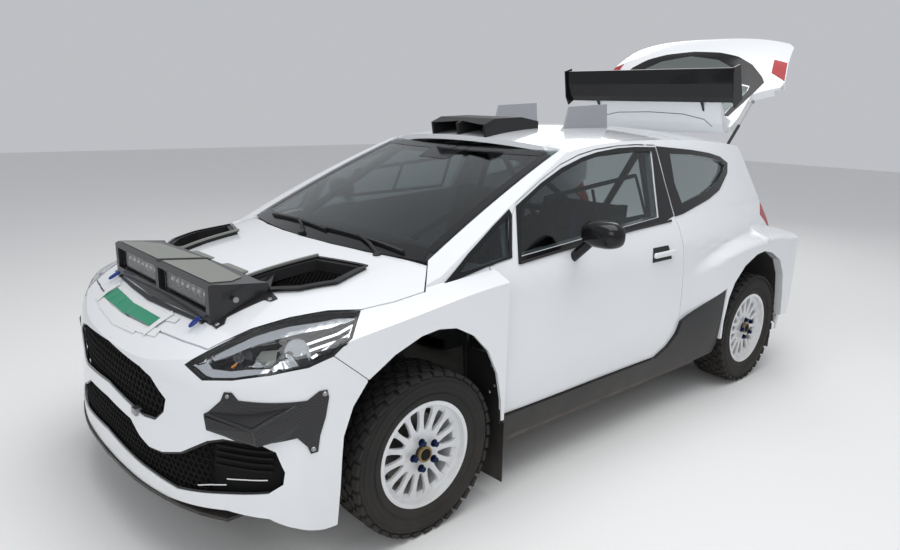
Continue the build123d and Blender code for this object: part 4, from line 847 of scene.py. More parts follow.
grille_tree = surface("grilles")
upper = honeycomb("upper_honeycomb", grille_tree, GRILLE, 30.0, 6.5, 7.0, 0.010, reach=480)
lower = honeycomb("lower_honeycomb", grille_tree, INTAKE, 24.0, 5.0, 6.0, 0.008, reach=640)
print("honeycomb faces:", len(upper.data.polygons), len(lower.data.polygons))

# %% [markdown]
# Behind each honeycomb a black sheet closes the cavity, a little larger than the opening, and a glossy rim
# runs round it. The intake's corners hold ducts with slanted louvres and two bright blades. A steel clip
# stands on the lower edge of the grille.

# %% Grille rims and corner louvres
OPENINGS = (("grille", GRILLE), ("intake", INTAKE))
BACK_WIDER, BACK_HIGHER = 1.012, 1.08
LOUVRE_TOP, LOUVRE_PITCH = 500, 22
BLADES = {"blade": [(712, 398), (762, 403), (813, 406)], "foot": [(614, 352), (660, 366), (711, 377)]}


def front_line(points, side=1):
    """Points of a front view in mm, in metres ahead of the nose."""
    return [(3.0, side * y / 1000, z / 1000) for y, z in points]


def whole(outline):
    """An outline of one side, closed over the centre line."""
    return outline + [(-y, z) for y, z in reversed(outline) if y > 0]


for name, outline in OPENINGS:
    heights = [z for _, z in outline]
    middle = (max(heights) + min(heights)) / 2
    larger = [(y * BACK_WIDER, middle + (z - middle) * BACK_HIGHER) for y, z in whole(outline)]
    back = patch(f"{name}_back", grille_tree, front_line(larger), BACK, matt_black,
                 lift=-0.022)
    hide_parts("grilles")
    strip(f"{name}_rim", grille_tree, front_line(whole(outline)), BACK, 0.016, gloss_black,
          closed=True, thick=0.006, lift=0.002)
for name, side in SIDES:
    for k in range(4):
        z = LOUVRE_TOP - LOUVRE_PITCH * k
        line = front_line([(672, z + 2), (745, z), (822, z - 4)], side)
        strip(f"duct_louvre_{name}_{k}", grille_tree, line, BACK, 0.008, matt_black,
              thick=0.012, lift=-0.004)
    for part, line in BLADES.items():
        strip(f"duct_{part}_{name}", grille_tree, front_line(line, side), BACK, 0.004, chrome,
              thick=0.010, lift=0.004)
block("grille_clip", (2.040, 0.252, 0.496), (2.066, 0.290, 0.522), steel, bevel=0.002)
print("openings with a rim:", len(OPENINGS))

# %% [markdown]
# The corner lamp pods are carbon boxes on eared flanges. A pod has flat faces at odd angles, so it is the
# hull round its corner points. The flange is a flat sheet laid on the bumper with a silver screw in each
# ear, and the pod's front holds a dark lens.

# %% Corner lamps
# Corner points in mm, on the left side
POD = [(1974, 655, 612), (1971, 660, 556), (1892, 856, 548), (1903, 858, 604), (1876, 681, 646),
       (1930, 672, 552), (1704, 881, 679), (1688, 886, 606), (1740, 862, 545), (1860, 770, 520)]
POD_TOP = [(1961, 669, 616), (1902, 842, 609), (1740, 864, 669), (1892, 690, 640)]
POD_UP = Vector((0.363, 0.163, 0.917))
# How far the cover reaches below and above the pod's top, in mm
COVER_RISES = (-4, 1.5)
LENS = [(1976, 664, 606), (1973, 668, 564), (1898, 846, 556), (1907, 848, 598)]
FLANGE = [(1930, 700, 660), (1922, 708, 688), (1908, 730, 690), (1890, 745, 668), (1716, 868, 666),
          (1690, 886, 690), (1668, 894, 690), (1664, 896, 664), (1676, 894, 600), (1694, 889, 540),
          (1700, 886, 486), (1722, 880, 484), (1730, 876, 510), (1760, 866, 545), (1880, 770, 520),
          (1960, 660, 560), (1960, 655, 610)]
SCREWS = [(1918, 720, 676), (1676, 893, 678), (1713, 882, 498), (1845, 812, 548)]
# Screws further forward than this sit on the pod, the others on the flange
POD_SCREWS_FROM = 1800
# How far the lens reaches back and inwards, in mm
LENS_BACK, LENS_IN = 14, 6
# How far in front of the corner the flange is drawn, in metres
AHEAD_X, AHEAD_Y = 0.12, 0.10


def hull(name, points, material, bevel):
    """A solid with flat faces round a set of corner points in mm."""
    bm = bmesh.new()
    bmesh.ops.convex_hull(bm, input=[bm.verts.new(Vector(p) / 1000) for p in points])
    bmesh.ops.dissolve_limit(bm, angle_limit=math.radians(4), verts=bm.verts, edges=bm.edges)
    return dress(mesh_object(name, bm), material, bevel=bevel)


for name, side in SIDES:
    inwards = (-0.77, -0.64 * side, 0)
    pod = hull(f"corner_pod_{name}", sided(POD, side), carbon, 0.004)
    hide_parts("corner_lamps")
    cover = [tuple(Vector(p) + POD_UP * rise) for p in POD_TOP for rise in COVER_RISES]
    hull(f"corner_cover_{name}", sided(cover, side), satin_black, 0.001)
    outline = [Vector(p) / 1000 + Vector((AHEAD_X, AHEAD_Y * side, 0)) for p in sided(FLANGE, side)]
    patch(f"corner_flange_{name}", front_tree, outline, inwards, carbon, lift=0.0006,
          thick=0.004, bevel=0.001)
    lens = LENS + [(x - LENS_BACK, y - LENS_IN, z) for x, y, z in LENS]
    hull(f"corner_lens_{name}", sided(lens, side), gloss_black, 0.002)
    bm = bmesh.new()
    for x, y, z in SCREWS:
        start = (x / 1000 + AHEAD_X, side * (y / 1000 + AHEAD_Y), z / 1000)
        hit, normal = land(front_tree, start, inwards, 0.004)
        if x > POD_SCREWS_FROM:
            hit = Vector((x, side * y, z)) / 1000
        disc(bm, hit, normal, 0.009, 0.004, 20, 0.006)
    dress(mesh_object(f"corner_screws_{name}", bm), steel)
print("screws on a corner lamp:", len(SCREWS))

# %% [markdown]
# A headlamp is a clear shell over a deep dark bowl. The bowl holds a bright bezel, a projector, a chrome
# reflector with streaks and a wedge beside it, a grey shade, a dark side marker and a small amber
# indicator. The CAD lens is a solid block, so a thin shell takes its place and lets the insides show. Each
# flat part is an outline laid on the lens along the direction in which the lamp looks, and then sunk behind
# it by its own depth. The round parts stand at their own places.

# %% Headlamp outlines
# Points in mm on the left lamp, as the photograph shows them
LAMP = [(1972, 529, 738), (1957, 624, 709), (1900, 722, 725), (1817, 813, 749), (1717, 873, 769),
        (1639, 893, 795), (1560, 885, 835), (1469, 800, 893), (1562, 743, 893), (1676, 691, 878),
        (1787, 637, 847), (1901, 588, 794)]
BEZEL = [(1964, 548, 738), (1885, 611, 802), (1790, 656, 842), (1688, 711, 868), (1603, 758, 878),
         (1492, 792, 889), (1482, 806, 886), (1589, 803, 867), (1677, 765, 857), (1747, 732, 842),
         (1806, 699, 826), (1881, 664, 795), (1926, 618, 772), (1935, 613, 761), (1933, 638, 747),
         (1901, 701, 750), (1862, 754, 763), (1827, 796, 766), (1770, 845, 767), (1738, 861, 770),
         (1737, 863, 760), (1803, 824, 750), (1883, 742, 736), (1938, 654, 722), (1962, 587, 725)]
LAMP_PARTS = [
    # name, material, depth in metres, points
    ("wedge", chrome, 0.034, [(1859, 734, 791), (1816, 779, 798), (1817, 795, 787), (1841, 777, 771),
                              (1869, 737, 770)]),
    ("shade", cover_grey, 0.046, [(1831, 721, 809), (1801, 705, 826), (1762, 744, 833), (1791, 781, 809),
                                  (1822, 790, 787), (1855, 743, 789)]),
    ("marker", gloss_black, 0.014, [(1660, 874, 822), (1602, 861, 843), (1538, 876, 850), (1607, 896, 812),
                                    (1646, 888, 794)]),
    ("amber", amber, 0.048, [(1896, 670, 785), (1874, 675, 797), (1894, 689, 773), (1907, 681, 758)]),
]
STREAKS = [
    [(1701, 805, 836), (1582, 830, 859), (1489, 821, 881)],
    [(1694, 836, 827), (1587, 858, 847), (1495, 846, 869)],
    [(1703, 864, 813), (1626, 863, 836), (1558, 864, 851)],
    [(1790, 700, 833), (1700, 752, 850), (1560, 800, 872)],
]
ROUND_PARTS = [
    # name, place in mm, radius, depth, material
    ("reflector", (1738, 804, 797), 0.050, 0.034, chrome),
    ("projector", (1846, 676, 776), 0.028, 0.024, dark_steel),
]
BULBS = [((1856, 682, 778), 0.016), ((1746, 808, 800), 0.012)]
print("outlines in a headlamp:", 2 + len(LAMP_PARTS) + len(STREAKS))

# %% [markdown]
# The lamp looks forwards, outwards and a little up. The outlines start a quarter of a metre ahead along
# that direction, and the round parts are discs that three insets turn into cups.

# %% Headlamps
LAMP_WAY = Vector((0.62, 0.66, 0.42)).normalized()
LAMP_MIDDLE = sum((Vector(p) for p in LAMP), Vector()) / len(LAMP)
# The share of the radius by which each step of a cup goes in, and the share of the depth by which it sinks
CUP_STEPS = ((0.06, 0.0), (0.12, 0.5), (0.45, 0.5))
lamp_tree = surface("headlamps")


def lamp_points(points, side, shrink=1.0):
    """Points in front of a headlamp, drawn towards its middle by a share."""
    ahead = [(LAMP_MIDDLE + (Vector(p) - LAMP_MIDDLE) * shrink) / 1000 + LAMP_WAY * 0.25 for p in points]
    return [Vector((p.x, p.y * side, p.z)) for p in ahead]


def lamp_cup(name, side, place, radius, depth, material):
    """A round cup with a rim, facing along the lamp."""
    way = Vector((0.86, 0.42 * side, 0.28)).normalized()
    centre = Vector((place[0], place[1] * side, place[2])) / 1000
    bm = bmesh.new()
    made = bmesh.ops.create_circle(bm, cap_ends=True, segments=18, radius=radius,
                                   matrix=place_along(way, centre))
    face = made["verts"][0].link_faces[0]
    for inset, sink in CUP_STEPS:
        bmesh.ops.inset_region(bm, faces=[face], thickness=radius * inset, depth=-depth * sink)
    return dress(mesh_object(name, bm), material)


for name, side in SIDES:
    way = Vector((-LAMP_WAY.x, -LAMP_WAY.y * side, -LAMP_WAY.z))
    shell = patch(f"lamp_shell_{name}", lamp_tree, lamp_points(LAMP, side, 0.985), way, lamp_glass,
                  lift=-0.0035, thick=0.003)
    patch(f"lamp_bowl_{name}", lamp_tree, lamp_points(LAMP, side, 0.99), way, gloss_black,
          lift=-0.056, thick=0.003)
    strip(f"lamp_edge_{name}", lamp_tree, lamp_points(LAMP, side, 0.975), way, 0.012, gloss_black,
          lift=-0.006, thick=0.004, closed=True)
    patch(f"lamp_bezel_{name}", lamp_tree, lamp_points(BEZEL, side), way, chrome, lift=-0.020,
          thick=0.006, bevel=0.001)
    for part, material, depth, points in LAMP_PARTS:
        patch(f"lamp_{part}_{name}", lamp_tree, lamp_points(points, side), way, material,
              lift=-depth, thick=0.004, bevel=0.001)
    for k, line in enumerate(STREAKS):
        strip(f"lamp_streak_{name}_{k}", lamp_tree, lamp_points(line, side), way, 0.010, chrome,
              lift=-0.028, thick=0.004)
    for part, place, radius, depth, material in ROUND_PARTS:
        lamp_cup(f"lamp_{part}_{name}", side, place, radius, depth, material)
    bm = bmesh.new()
    for (x, y, z), radius in BULBS:
        bmesh.ops.create_uvsphere(bm, u_segments=20, v_segments=12, radius=radius,
                                  matrix=Matrix.Translation(Vector((x, y * side, z)) / 1000))
    dress(mesh_object(f"lamp_bulbs_{name}", bm), lamp_glass, smooth=True)
    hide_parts("headlamps")

# %% [markdown]
# The bonnet carries a pod with two light bars. Each bar is a window over a dark back with eight small
# lamps, and each lamp is a cup with a bright bead in it. Everything on the bonnet rides with it when it
# opens.

# %% Light bars
LIGHTS_A_BAR = 8
FIRST_LIGHT, LIGHT_PITCH, LIGHT_HEIGHT = 0.062, 0.048, 0.909
BAR_NEAR, BAR_FAR = 0.030, 0.432
BAR_FOOT, BAR_TOP = 0.872, 0.946
for name, side in SIDES:
    block(f"bar_window_{name}", (1.828, BAR_NEAR * side, BAR_FOOT), (1.836, BAR_FAR * side, BAR_TOP),
          lamp_glass, "bonnet", 0.002)
    block(f"bar_back_{name}", (1.770, BAR_NEAR * side, BAR_FOOT), (1.776, BAR_FAR * side, BAR_TOP),
          gloss_black, "bonnet", 0.002)
    cups = bmesh.new()
    beads = bmesh.new()
    for k in range(LIGHTS_A_BAR):
        y = side * (FIRST_LIGHT + k * LIGHT_PITCH)
        disc(cups, (1.778, y, LIGHT_HEIGHT), (1, 0, 0), 0.021, 0.030, 20, 0.023)
        bmesh.ops.create_uvsphere(beads, u_segments=12, v_segments=8, radius=0.008,
                                  matrix=Matrix.Translation((1.808, y, LIGHT_HEIGHT)))
    dress(mesh_object(f"bar_cups_{name}", cups), dark_steel, "bonnet")
    dress(mesh_object(f"bar_lights_{name}", beads), tape_white, "bonnet", smooth=True)
print("lights on the pod:", 2 * LIGHTS_A_BAR)

# %% [markdown]
# The pod's top is two grey covers with a dark seam between them. Its carbon foot spreads over the bonnet
# and is bolted down at the corners, and a black strip ahead of it is painted shade for a slot. All of these
# are outlines in plan view, carried down onto the pod or the bonnet.

# %% Pod cover, foot and bolts
# Plan views of the left side in mm
POD_COVER = [(1836, 22), (1834, 446), (1752, 436), (1690, 380), (1660, 22)]
POD_FOOT = [(1874, 0), (1862, 200), (1848, 460), (1850, 510), (1822, 516), (1800, 488), (1672, 512),
            (1664, 545), (1640, 548), (1632, 500), (1622, 200), (1620, 0)]
SLOT_PAINTED_SHADE = [(1892, 0), (1882, 200), (1866, 380), (1856, 380), (1868, 200), (1876, 0)]
POD_BOLTS = [(1838, 495), (1660, 530), (1832, 330)]
TAB_HALF = Vector((0.030, 0.085, 0.004))
pod_tree = surface("lamp_pod")
for name, side in SIDES:
    strip(f"pod_seam_{name}", pod_tree, plan([(1845, 12), (1640, 12)], side, 1.2), DOWN, 0.010, satin_black,
          "bonnet", thick=0.002)
    patch(f"pod_cover_{name}", pod_tree, plan(POD_COVER, side, 1.2), DOWN, cover_grey, "bonnet",
          bevel=0.0005)
    bm = bmesh.new()
    disc(bm, (1.770, side * 0.497, 0.915), (0.25, side, 0), 0.010, 0.006, 20)
    for point in plan(POD_BOLTS, side):
        hit, normal = land(bonnet_tree, point, DOWN, 0.005)
        disc(bm, hit, normal, 0.009, 0.004, 20, 0.006)
    dress(mesh_object(f"pod_bolts_{name}", bm), steel, "bonnet")
    patch(f"pod_foot_{name}", bonnet_tree, plan(POD_FOOT, side), DOWN, carbon, "bonnet",
          thick=0.004, bevel=0.001)
    # Painted shade: a raised black strip ahead of the pod's foot stands for the shaded slot there.
    patch(f"slot_painted_shade_{name}", bonnet_tree, plan(SLOT_PAINTED_SHADE, side), DOWN, satin_black,
          "bonnet", thick=0.006, bevel=0.001)
    hit, normal = land(bonnet_tree, (1.618, side * 0.150, 1.4), DOWN, 0.008)
    block(f"pod_tab_{name}", hit - TAB_HALF, hit + TAB_HALF, cover_grey, "bonnet")
print("pod bolts:", 2 * (1 + len(POD_BOLTS)))

# %% [markdown]
# Two quick-release pins hold the bonnet's nose. A blue loop of strap pulls each pin out of its black catch.
# The loop is short and stiff, so it stands as a slightly bent ring, and a round tube follows it.

# %% Pull loops and catches
LOOP_POINTS = 20
LOOP_HALF_LENGTH, LOOP_HALF_WIDTH, LOOP_RISE = 0.020, 0.010, 0.012


def loop_point(angle, side):
    """A point of the bent ring, measured from where the pin stands."""
    c, s = math.cos(angle), math.sin(angle)
    return Vector((c * LOOP_HALF_LENGTH + 0.01, side * (s * LOOP_HALF_WIDTH + 0.003 * c),
                   -LOOP_RISE * c + 0.004))


for name, side in SIDES:
    pin, normal = land(bonnet_tree, (1.868, side * 0.415, 1.4), DOWN, 0.010)
    ring = [pin + loop_point(math.tau * k / LOOP_POINTS, side) for k in range(LOOP_POINTS)]
    hoop(f"pull_loop_{name}", ring, 0.0042, blue_strap, "bonnet")
    block(f"pin_catch_{name}", pin + Vector((-0.045, -0.013, -0.010)), pin + Vector((-0.008, 0.013, 0.004)),
          gloss_black, "bonnet", 0.004)
print("pins stand", round(pin.z, 3), "m high")

# %% [markdown]
# The plate is blank and green, and strips of white tape hold it. Both bridge the joint between the bonnet
# and the bumper. A ray that falls into the joint would drag a point down with it, so each point lands where
# most of its neighbours do.

# %% Plate and tape
PLATE = [(1956, -345), (1968, -80), (1960, 190), (1922, 208), (1926, -60), (1908, -300)]
TAPES = [
    # line in plan view (mm), width, lift
    ([(1962, -390), (1980, -200), (1984, -40), (1974, 150), (1958, 270)], 0.034, 0.004),
    ([(1898, -330), (1916, -60), (1908, 230), (1896, 300)], 0.026, 0.004),
    ([(1978, -300), (1998, -60), (1986, 130)], 0.030, 0.004),
    ([(1984, 196), (1888, 236)], 0.030, 0.0095),
    ([(1976, -352), (1890, -318)], 0.034, 0.0095),
]
taped_tree = surface("bonnet", "front_bumper")
patch("green_plate", taped_tree, plan(PLATE), DOWN, plate_green, "bonnet", lift=0.006,
      pitch=0.06, rule=span)
for k, (line, width, lift) in enumerate(TAPES):
    strip(f"tape_{k}", taped_tree, plan(line), DOWN, width, tape_white, "bonnet", lift=lift,
          thick=0.0008, pitch=0.05, rule=span)
print("tapes:", len(TAPES))

# %% [markdown]
# The vents have a raised lip, a grey scoop along the inner side and a dark mesh below. The mesh is a flat
# outline cut along both diagonals and bent to the bonnet's curve. The Wireframe modifier turns its edges
# into thin bars, so that the engine bay shows through as black depth.

# %% Vent lips and mesh
VENT = [(1640, 318), (1360, 352), (1340, 420), (1290, 560), (1440, 604), (1556, 552), (1644, 448)]
VENT_LIP = [(1652, 312), (1352, 346), (1326, 420), (1278, 566), (1440, 614), (1562, 562), (1656, 452)]
VENT_SCOOP = [(1345, 340), (1500, 326), (1655, 308)]
MESH_PITCH, MESH_BAR, MESH_SINK = 0.016, 0.002, 0.045
DIAGONALS = (Vector((1, 1, 0)).normalized(), Vector((1, -1, 0)).normalized())


def bonnet_height(x, y):
    """Height of the bonnet's skin round the vents: it falls towards the nose and to both sides."""
    return 1.0215 - 0.075 * ((x - 1.05) / 0.6) ** 2 * 1.35 - 0.020 * (y / 0.563) ** 2


for name, side in SIDES:
    strip(f"vent_lip_{name}", bonnet_tree, plan(VENT_LIP, side), DOWN, 0.014, gloss_black,
          "bonnet", lift=0.010, thick=0.006, closed=True)
    strip(f"vent_scoop_{name}", bonnet_tree, plan(VENT_SCOOP, side), DOWN, 0.012, cover_grey,
          "bonnet", lift=0.016, thick=0.008)
    bm = bmesh.new()
    bm.faces.new([bm.verts.new(p) for p in plan(VENT, side, 0)])
    for axis in DIAGONALS:
        dice(bm, axis, MESH_PITCH)
    for vert in bm.verts:
        vert.co.z = bonnet_height(vert.co.x, vert.co.y) - MESH_SINK
    grid = mesh_object(f"vent_mesh_{name}", bm)
    grid.modifiers.new("bars", "WIREFRAME").thickness = MESH_BAR
    dress(grid, matt_black, "bonnet")
print("holes in a vent:", len(grid.data.polygons))

# %% [markdown]
# A windscreen's edge is printed black to hide the glue, and a black patch lies in the middle of its upper
# edge. The foot and the head of the screen are shallow arcs in plan view, and the print follows them as
# ribbons on the glass.

# %% Windscreen border
PRINT_LIFT, PRINT_THICK = 0.0006, 0.0008
# Columns: place of the corners, how far the middle bows forward, half width at the corners, in metres
SCREEN_FOOT = (1.087, 0.110, 0.684)
SCREEN_HEAD = (0.249, 0.080, 0.591)
screen_tree = surface("fixed_glass")


def screen_arc(arc, half_width, shift):
    """A line along an edge of the screen, moved along the car by a distance."""
    corner, bow, half = arc
    places = [half_width * (k / 10) for k in range(-10, 11)]
    return [(corner + bow * (1 - (y / half) ** 2) + shift, y, 2.0) for y in places]


def screen_print(name, line, width):
    """A printed black ribbon on the windscreen."""
    strip(name, screen_tree, line, DOWN, width, gloss_black, lift=PRINT_LIFT,
          thick=PRINT_THICK)


screen_print("screen_border_foot", screen_arc(SCREEN_FOOT, 0.655, -0.040), 0.080)
screen_print("screen_border_head", screen_arc(SCREEN_HEAD, 0.560, 0.030), 0.050)
for name, side in SIDES:
    edge = plan([(1040, 650), (780, 622), (520, 594), (285, 568)], side, 2.0)
    screen_print(f"screen_border_{name}", edge, 0.044)
patch("screen_patch", screen_tree, plan([(480, -100), (480, 100), (335, 130), (335, -130)], height=2.0), DOWN,
      gloss_black, thick=PRINT_THICK, lift=PRINT_LIFT)

# %% [markdown]
# The two wipers are parked along the lower edge: an arm from the cowl carries a blade that touches the
# glass. The arm is two bars with a bend, because a real one is cranked over the edge of the cowl.

# %% Wipers
ARM_BEND = 0.45


def wiper(name, pivot, blade):
    """A wiper: a spindle cap, an arm and a blade that lies on the glass."""
    bm = bmesh.new()
    base = Vector(pivot)
    disc(bm, base - Vector((0, 0, 0.02)), (0.35, 0, 1), 0.017, 0.034, 20)
    ends = [land(screen_tree, (x, y, 2.0), DOWN, 0.014)[0] for x, y in blade]
    middle = ends[0].lerp(ends[1], 0.5) + Vector((0, 0, 0.008))
    bend = base.lerp(middle, ARM_BEND) + Vector((0, 0, 0.012))
    bar(bm, base, bend, 0.008)
    bar(bm, bend, middle, 0.006)
    dress(mesh_object(f"{name}_arm", bm), satin_black, bevel=0.001)
    strip(f"{name}_blade", screen_tree, [(end.x, end.y, 2.0) for end in ends], DOWN, 0.010, rubber,
          lift=0.001, thick=0.014)
    return (ends[1] - ends[0]).length


blades = [wiper("wiper_left", (1.150, 0.470, 0.985), ((1.090, 0.560), (1.120, -0.020))),
          wiper("wiper_right", (1.175, -0.060, 1.000), ((1.125, 0.060), (1.085, -0.480)))]
print("wiper blades:", [round(length, 2) for length in blades], "m")

# %% [markdown]
# The tailgate's window has a wide black border that reaches far above the glass itself, and a joint runs
# across the panel behind the roof. The tailgate stands open, so all of it is laid on in that pose, along
# the direction in which the window looks then.

# %% Tailgate border and joint
GATE_OUT = Vector((0.75, 0, 0.66))
# Points in mm from the centre line to the left, or back, as the photograph shows them
ARCH = [(-1755, 564, 1745), (-1775, 538, 1778), (-1814, 446, 1857), (-1837, 333, 1911), (-1858, 195, 1941),
        (-1873, 0, 1954)]
BORDER_FOOT = [(-1495, 0, 1521), (-1530, 300, 1517), (-1548, 470, 1521), (-1585, 490, 1570),
               (-1622, 512, 1618), (-1690, 540, 1682)]
GLASS_EDGE = [(-1505, 0, 1536), (-1540, 300, 1532), (-1556, 444, 1538), (-1590, 456, 1580),
              (-1632, 477, 1620), (-1666, 488, 1660), (-1690, 499, 1690), (-1714, 494, 1722),
              (-1713, 402, 1744), (-1712, 212, 1764), (-1711, 0, 1768)]
INNER_ARCH = [(-1752, 410, 1790), (-1780, 348, 1830), (-1814, 212, 1891), (-1833, 0, 1921)]
JOINT = [(-1421, 433, 1470), (-1401, 385, 1511), (-1390, 242, 1540), (-1387, 0, 1548)]
gate_tree = surface("tailgate", "tailgate_glass")


def gate_line(points, ahead):
    """A run on the left side, carried on to the right, in metres and moved away from the tailgate."""
    right = sided([p for p in reversed(points) if p[1] > 0], -1)
    return [Vector(p) / 1000 + ahead for p in points + right]


patch("gate_border", gate_tree, gate_line(BORDER_FOOT + ARCH, GATE_OUT * 0.1), -GATE_OUT, gloss_black,
      "tailgate", lift=PRINT_LIFT, thick=PRINT_THICK,
      hole=gate_line(GLASS_EDGE, GATE_OUT * 0.1))
# The pane is an opaque sheet whose dark colour is painted shade, standing for the shaded cabin behind the
# glass.
patch("gate_pane", gate_tree, gate_line(INNER_ARCH, GATE_OUT * 0.1), -GATE_OUT, pane_painted_shade,
      "tailgate", lift=0.0020, thick=PRINT_THICK)
strip("gate_joint", gate_tree, gate_line(JOINT, Vector((0.06, 0, -0.02))), (-0.93, 0, 0.38), 0.004, rubber,
      "tailgate", lift=0.0004, thick=0.0006)

# %% [markdown]
# A gravel tyre is a smooth carcass with deep blocks. The carcass is a profile spun round the axle. One row
# of blocks is a single bevelled block, copied round by the spin operator without joining the copies, and
# each row is turned by part of a pitch so that the rows interlock. The sidewall gets thin raised rings.

# %% Tread and sidewall
TYRE_RADIUS = 0.323
TREAD_DEPTH = 0.011
# A block's depth in the carcass, its distance below the tyre's radius, and what the shoulder adds to that
LUG_FOOT, LUG_BELOW, SHOULDER_DROP = 0.004, 0.0012, 0.0022
SHOULDER_FROM, SHOULDER_LEAN = 0.07, 9
CARCASS = [
    # distance from the wheel's middle, radius
    (-0.089, 0.2085), (-0.0945, 0.222), (-0.1005, 0.250), (-0.1015, 0.275), (-0.0960, 0.298),
    (-0.0860, 0.3095), (-0.045, 0.3120), (0.0, 0.3125), (0.045, 0.3120), (0.0860, 0.3095),
    (0.0960, 0.298), (0.1015, 0.275), (0.1005, 0.250), (0.0945, 0.222), (0.089, 0.2085),
]
LUG_ROWS = [
    # place across, width across, length round (degrees), copies, turn (degrees), slant (degrees)
    (-0.0855, 0.026, 7.4, 36, 0.0, 8), (-0.0500, 0.030, 6.6, 36, 4.0, 20), (-0.0150, 0.027, 6.4, 36, 7.5, 24),
    (0.0195, 0.027, 6.4, 36, 2.5, -24), (0.0540, 0.030, 6.6, 36, 6.5, -20), (0.0865, 0.026, 7.4, 36, 1.5, -8),
]
# Raised rings, columns: radius, distance from the wheel's middle
SIDEWALL_RINGS = [(0.236, 0.0995), (0.262, 0.0995), (0.284, 0.0980075)]
RING_WIDTH, RING_RISE = 0.003, 0.0022
ORIGIN = (0, 0, 0)
AXLE = (0, 1, 0)


def spin_copies(bm, copies):
    """Repeat everything in a bmesh round the axle, without joining the copies."""
    bmesh.ops.spin(bm, geom=bm.verts[:] + bm.edges[:] + bm.faces[:], cent=ORIGIN, axis=AXLE,
                   angle=math.tau * (copies - 1) / copies, steps=copies - 1, use_duplicate=True)


def turn(bm, degrees, axis):
    """Turn everything in a bmesh about the origin."""
    bmesh.ops.rotate(bm, verts=bm.verts, cent=ORIGIN, matrix=Matrix.Rotation(math.radians(degrees), 3, axis))


def add_lug_row(bm, across, width, length, copies, turned, slant):
    """Add one row of blocks round the tyre."""
    lug = bmesh.new()
    bmesh.ops.create_cube(lug, size=1.0)
    height = TREAD_DEPTH + LUG_FOOT
    bmesh.ops.scale(lug, vec=(math.radians(length) * TYRE_RADIUS, width, height), verts=lug.verts)
    bmesh.ops.bevel(lug, geom=lug.edges[:], offset=0.0018, affect="EDGES", segments=1, profile=0.5,
                    material=-1)
    turn(lug, slant, "Z")
    top = TYRE_RADIUS - height / 2 - LUG_BELOW
    if abs(across) > SHOULDER_FROM:
        turn(lug, -SHOULDER_LEAN if across > 0 else SHOULDER_LEAN, "X")
        top -= SHOULDER_DROP
    bmesh.ops.translate(lug, verts=lug.verts, vec=(0, across, top))
    turn(lug, turned, "Y")
    spin_copies(lug, copies)
    row = bpy.data.meshes.new("lug row")
    lug.to_mesh(row)
    lug.free()
    bm.from_mesh(row)
    bpy.data.meshes.remove(row)


def add_sidewall_rings(bm):
    """Add thin raised rings on both sidewalls."""
    for side in (1, -1):
        for radius, out in SIDEWALL_RINGS:
            matrix = Matrix.Translation((0, side * out, 0)) @ Matrix.Rotation(math.pi / 2, 4, "X")
            ring = bmesh.ops.create_circle(bm, segments=64, radius=radius, matrix=matrix)
            loop = list({e for v in ring["verts"] for e in v.link_edges})
            scale = (radius + RING_WIDTH) / radius
            for vert in made_verts(bmesh.ops.extrude_edge_only(bm, edges=loop)):
                vert.co.x *= scale
                vert.co.z *= scale
                vert.co.y += side * RING_RISE


print("blocks on a tyre:", sum(row[3] for row in LUG_ROWS))

# %% [markdown]
# Each tyre is built round the origin and then moved to the middle of the CAD tyre that it replaces. It
# rides on the same body, so it turns and steers with the wheel.

# %% Tyres
CORNERS = ["front_left", "front_right", "rear_left", "rear_right"]


def wheel_place(node):
    """The middle of a wheel's CAD node, and 1 on the left side or -1 on the right."""
    low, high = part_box(node)
    centre = (low + high) / 2
    return centre, 1 if centre.y > 0 else -1


def tyre(name, node):
    """A carcass, its lugs and its sidewall rings, at a wheel."""
    bm = bmesh.new()
    verts = [bm.verts.new((0, y, r)) for y, r in CARCASS]
    edges = [bm.edges.new((a, b)) for a, b in zip(verts, verts[1:])]
    bmesh.ops.spin(bm, geom=verts + edges, cent=ORIGIN, axis=AXLE, angle=math.tau, steps=96, use_merge=True)
    bmesh.ops.remove_doubles(bm, verts=bm.verts, dist=1e-5)
    for row in LUG_ROWS:
        add_lug_row(bm, *row)
    add_sidewall_rings(bm)
    bmesh.ops.translate(bm, verts=bm.verts, vec=wheel_place(node)[0])
    piece = dress(mesh_object(name, bm), tyre_rubber, nodes[node]["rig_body"])
    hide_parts(node)
    return piece


tyres = [tyre(f"gravel_tyre_{corner}", f"tyre_{corner}") for corner in CORNERS]
print("tyre faces:", [len(t.data.polygons) for t in tyres])

# %% [markdown]
# The wheel itself is two spun rings with fifteen spokes between them. A spoke is one outline, pulled to its
# thickness and bevelled, then copied round. It is narrow in the middle and flares into the rim, so that the
# gaps between the spokes are wide near the rim, like drops. The brake disc behind it turns with the wheel.

# %% Wheels
# Sections in mm, columns: radius, distance out from the wheel's middle
BARREL = [(207, 89), (207, 83), (198, 80), (196, 66), (176, 52), (174, -30), (190, -52), (196, -66),
          (198, -80), (207, -83), (207, -89), (191, -89), (189, -64), (183, -50), (167, -32), (167, 48),
          (188, 66), (192, 89)]
HUB = [(30, 46), (30, 62), (82, 62), (88, 58), (88, 46)]
BRAKE = [(30, 45.5), (78, 45.5), (78, 4), (138, 4), (138, -20), (70, -20), (70, 36), (30, 36)]
# Half a spoke seen from outside, columns: radius, half width
SPOKE = [(80, 15.0), (92, 12.5), (112, 10.0), (145, 10.0), (160, 13.0), (170, 19.0), (186, 27.0)]
SPOKE_COUNT = 15
SPOKE_BACK, SPOKE_FRONT = 0.046, 0.062
# The spoke's back ends at the barrel's inner wall
SPOKE_BACK_RADIUS = 0.174


def spun(bm, section):
    """Add a ring with a closed section, spun round the axle."""
    verts, edges = closed_run(bm, [(0, y / 1000, r / 1000) for r, y in section])
    bmesh.ops.spin(bm, geom=verts + edges, cent=ORIGIN, axis=AXLE, angle=math.tau, steps=72, use_merge=True)


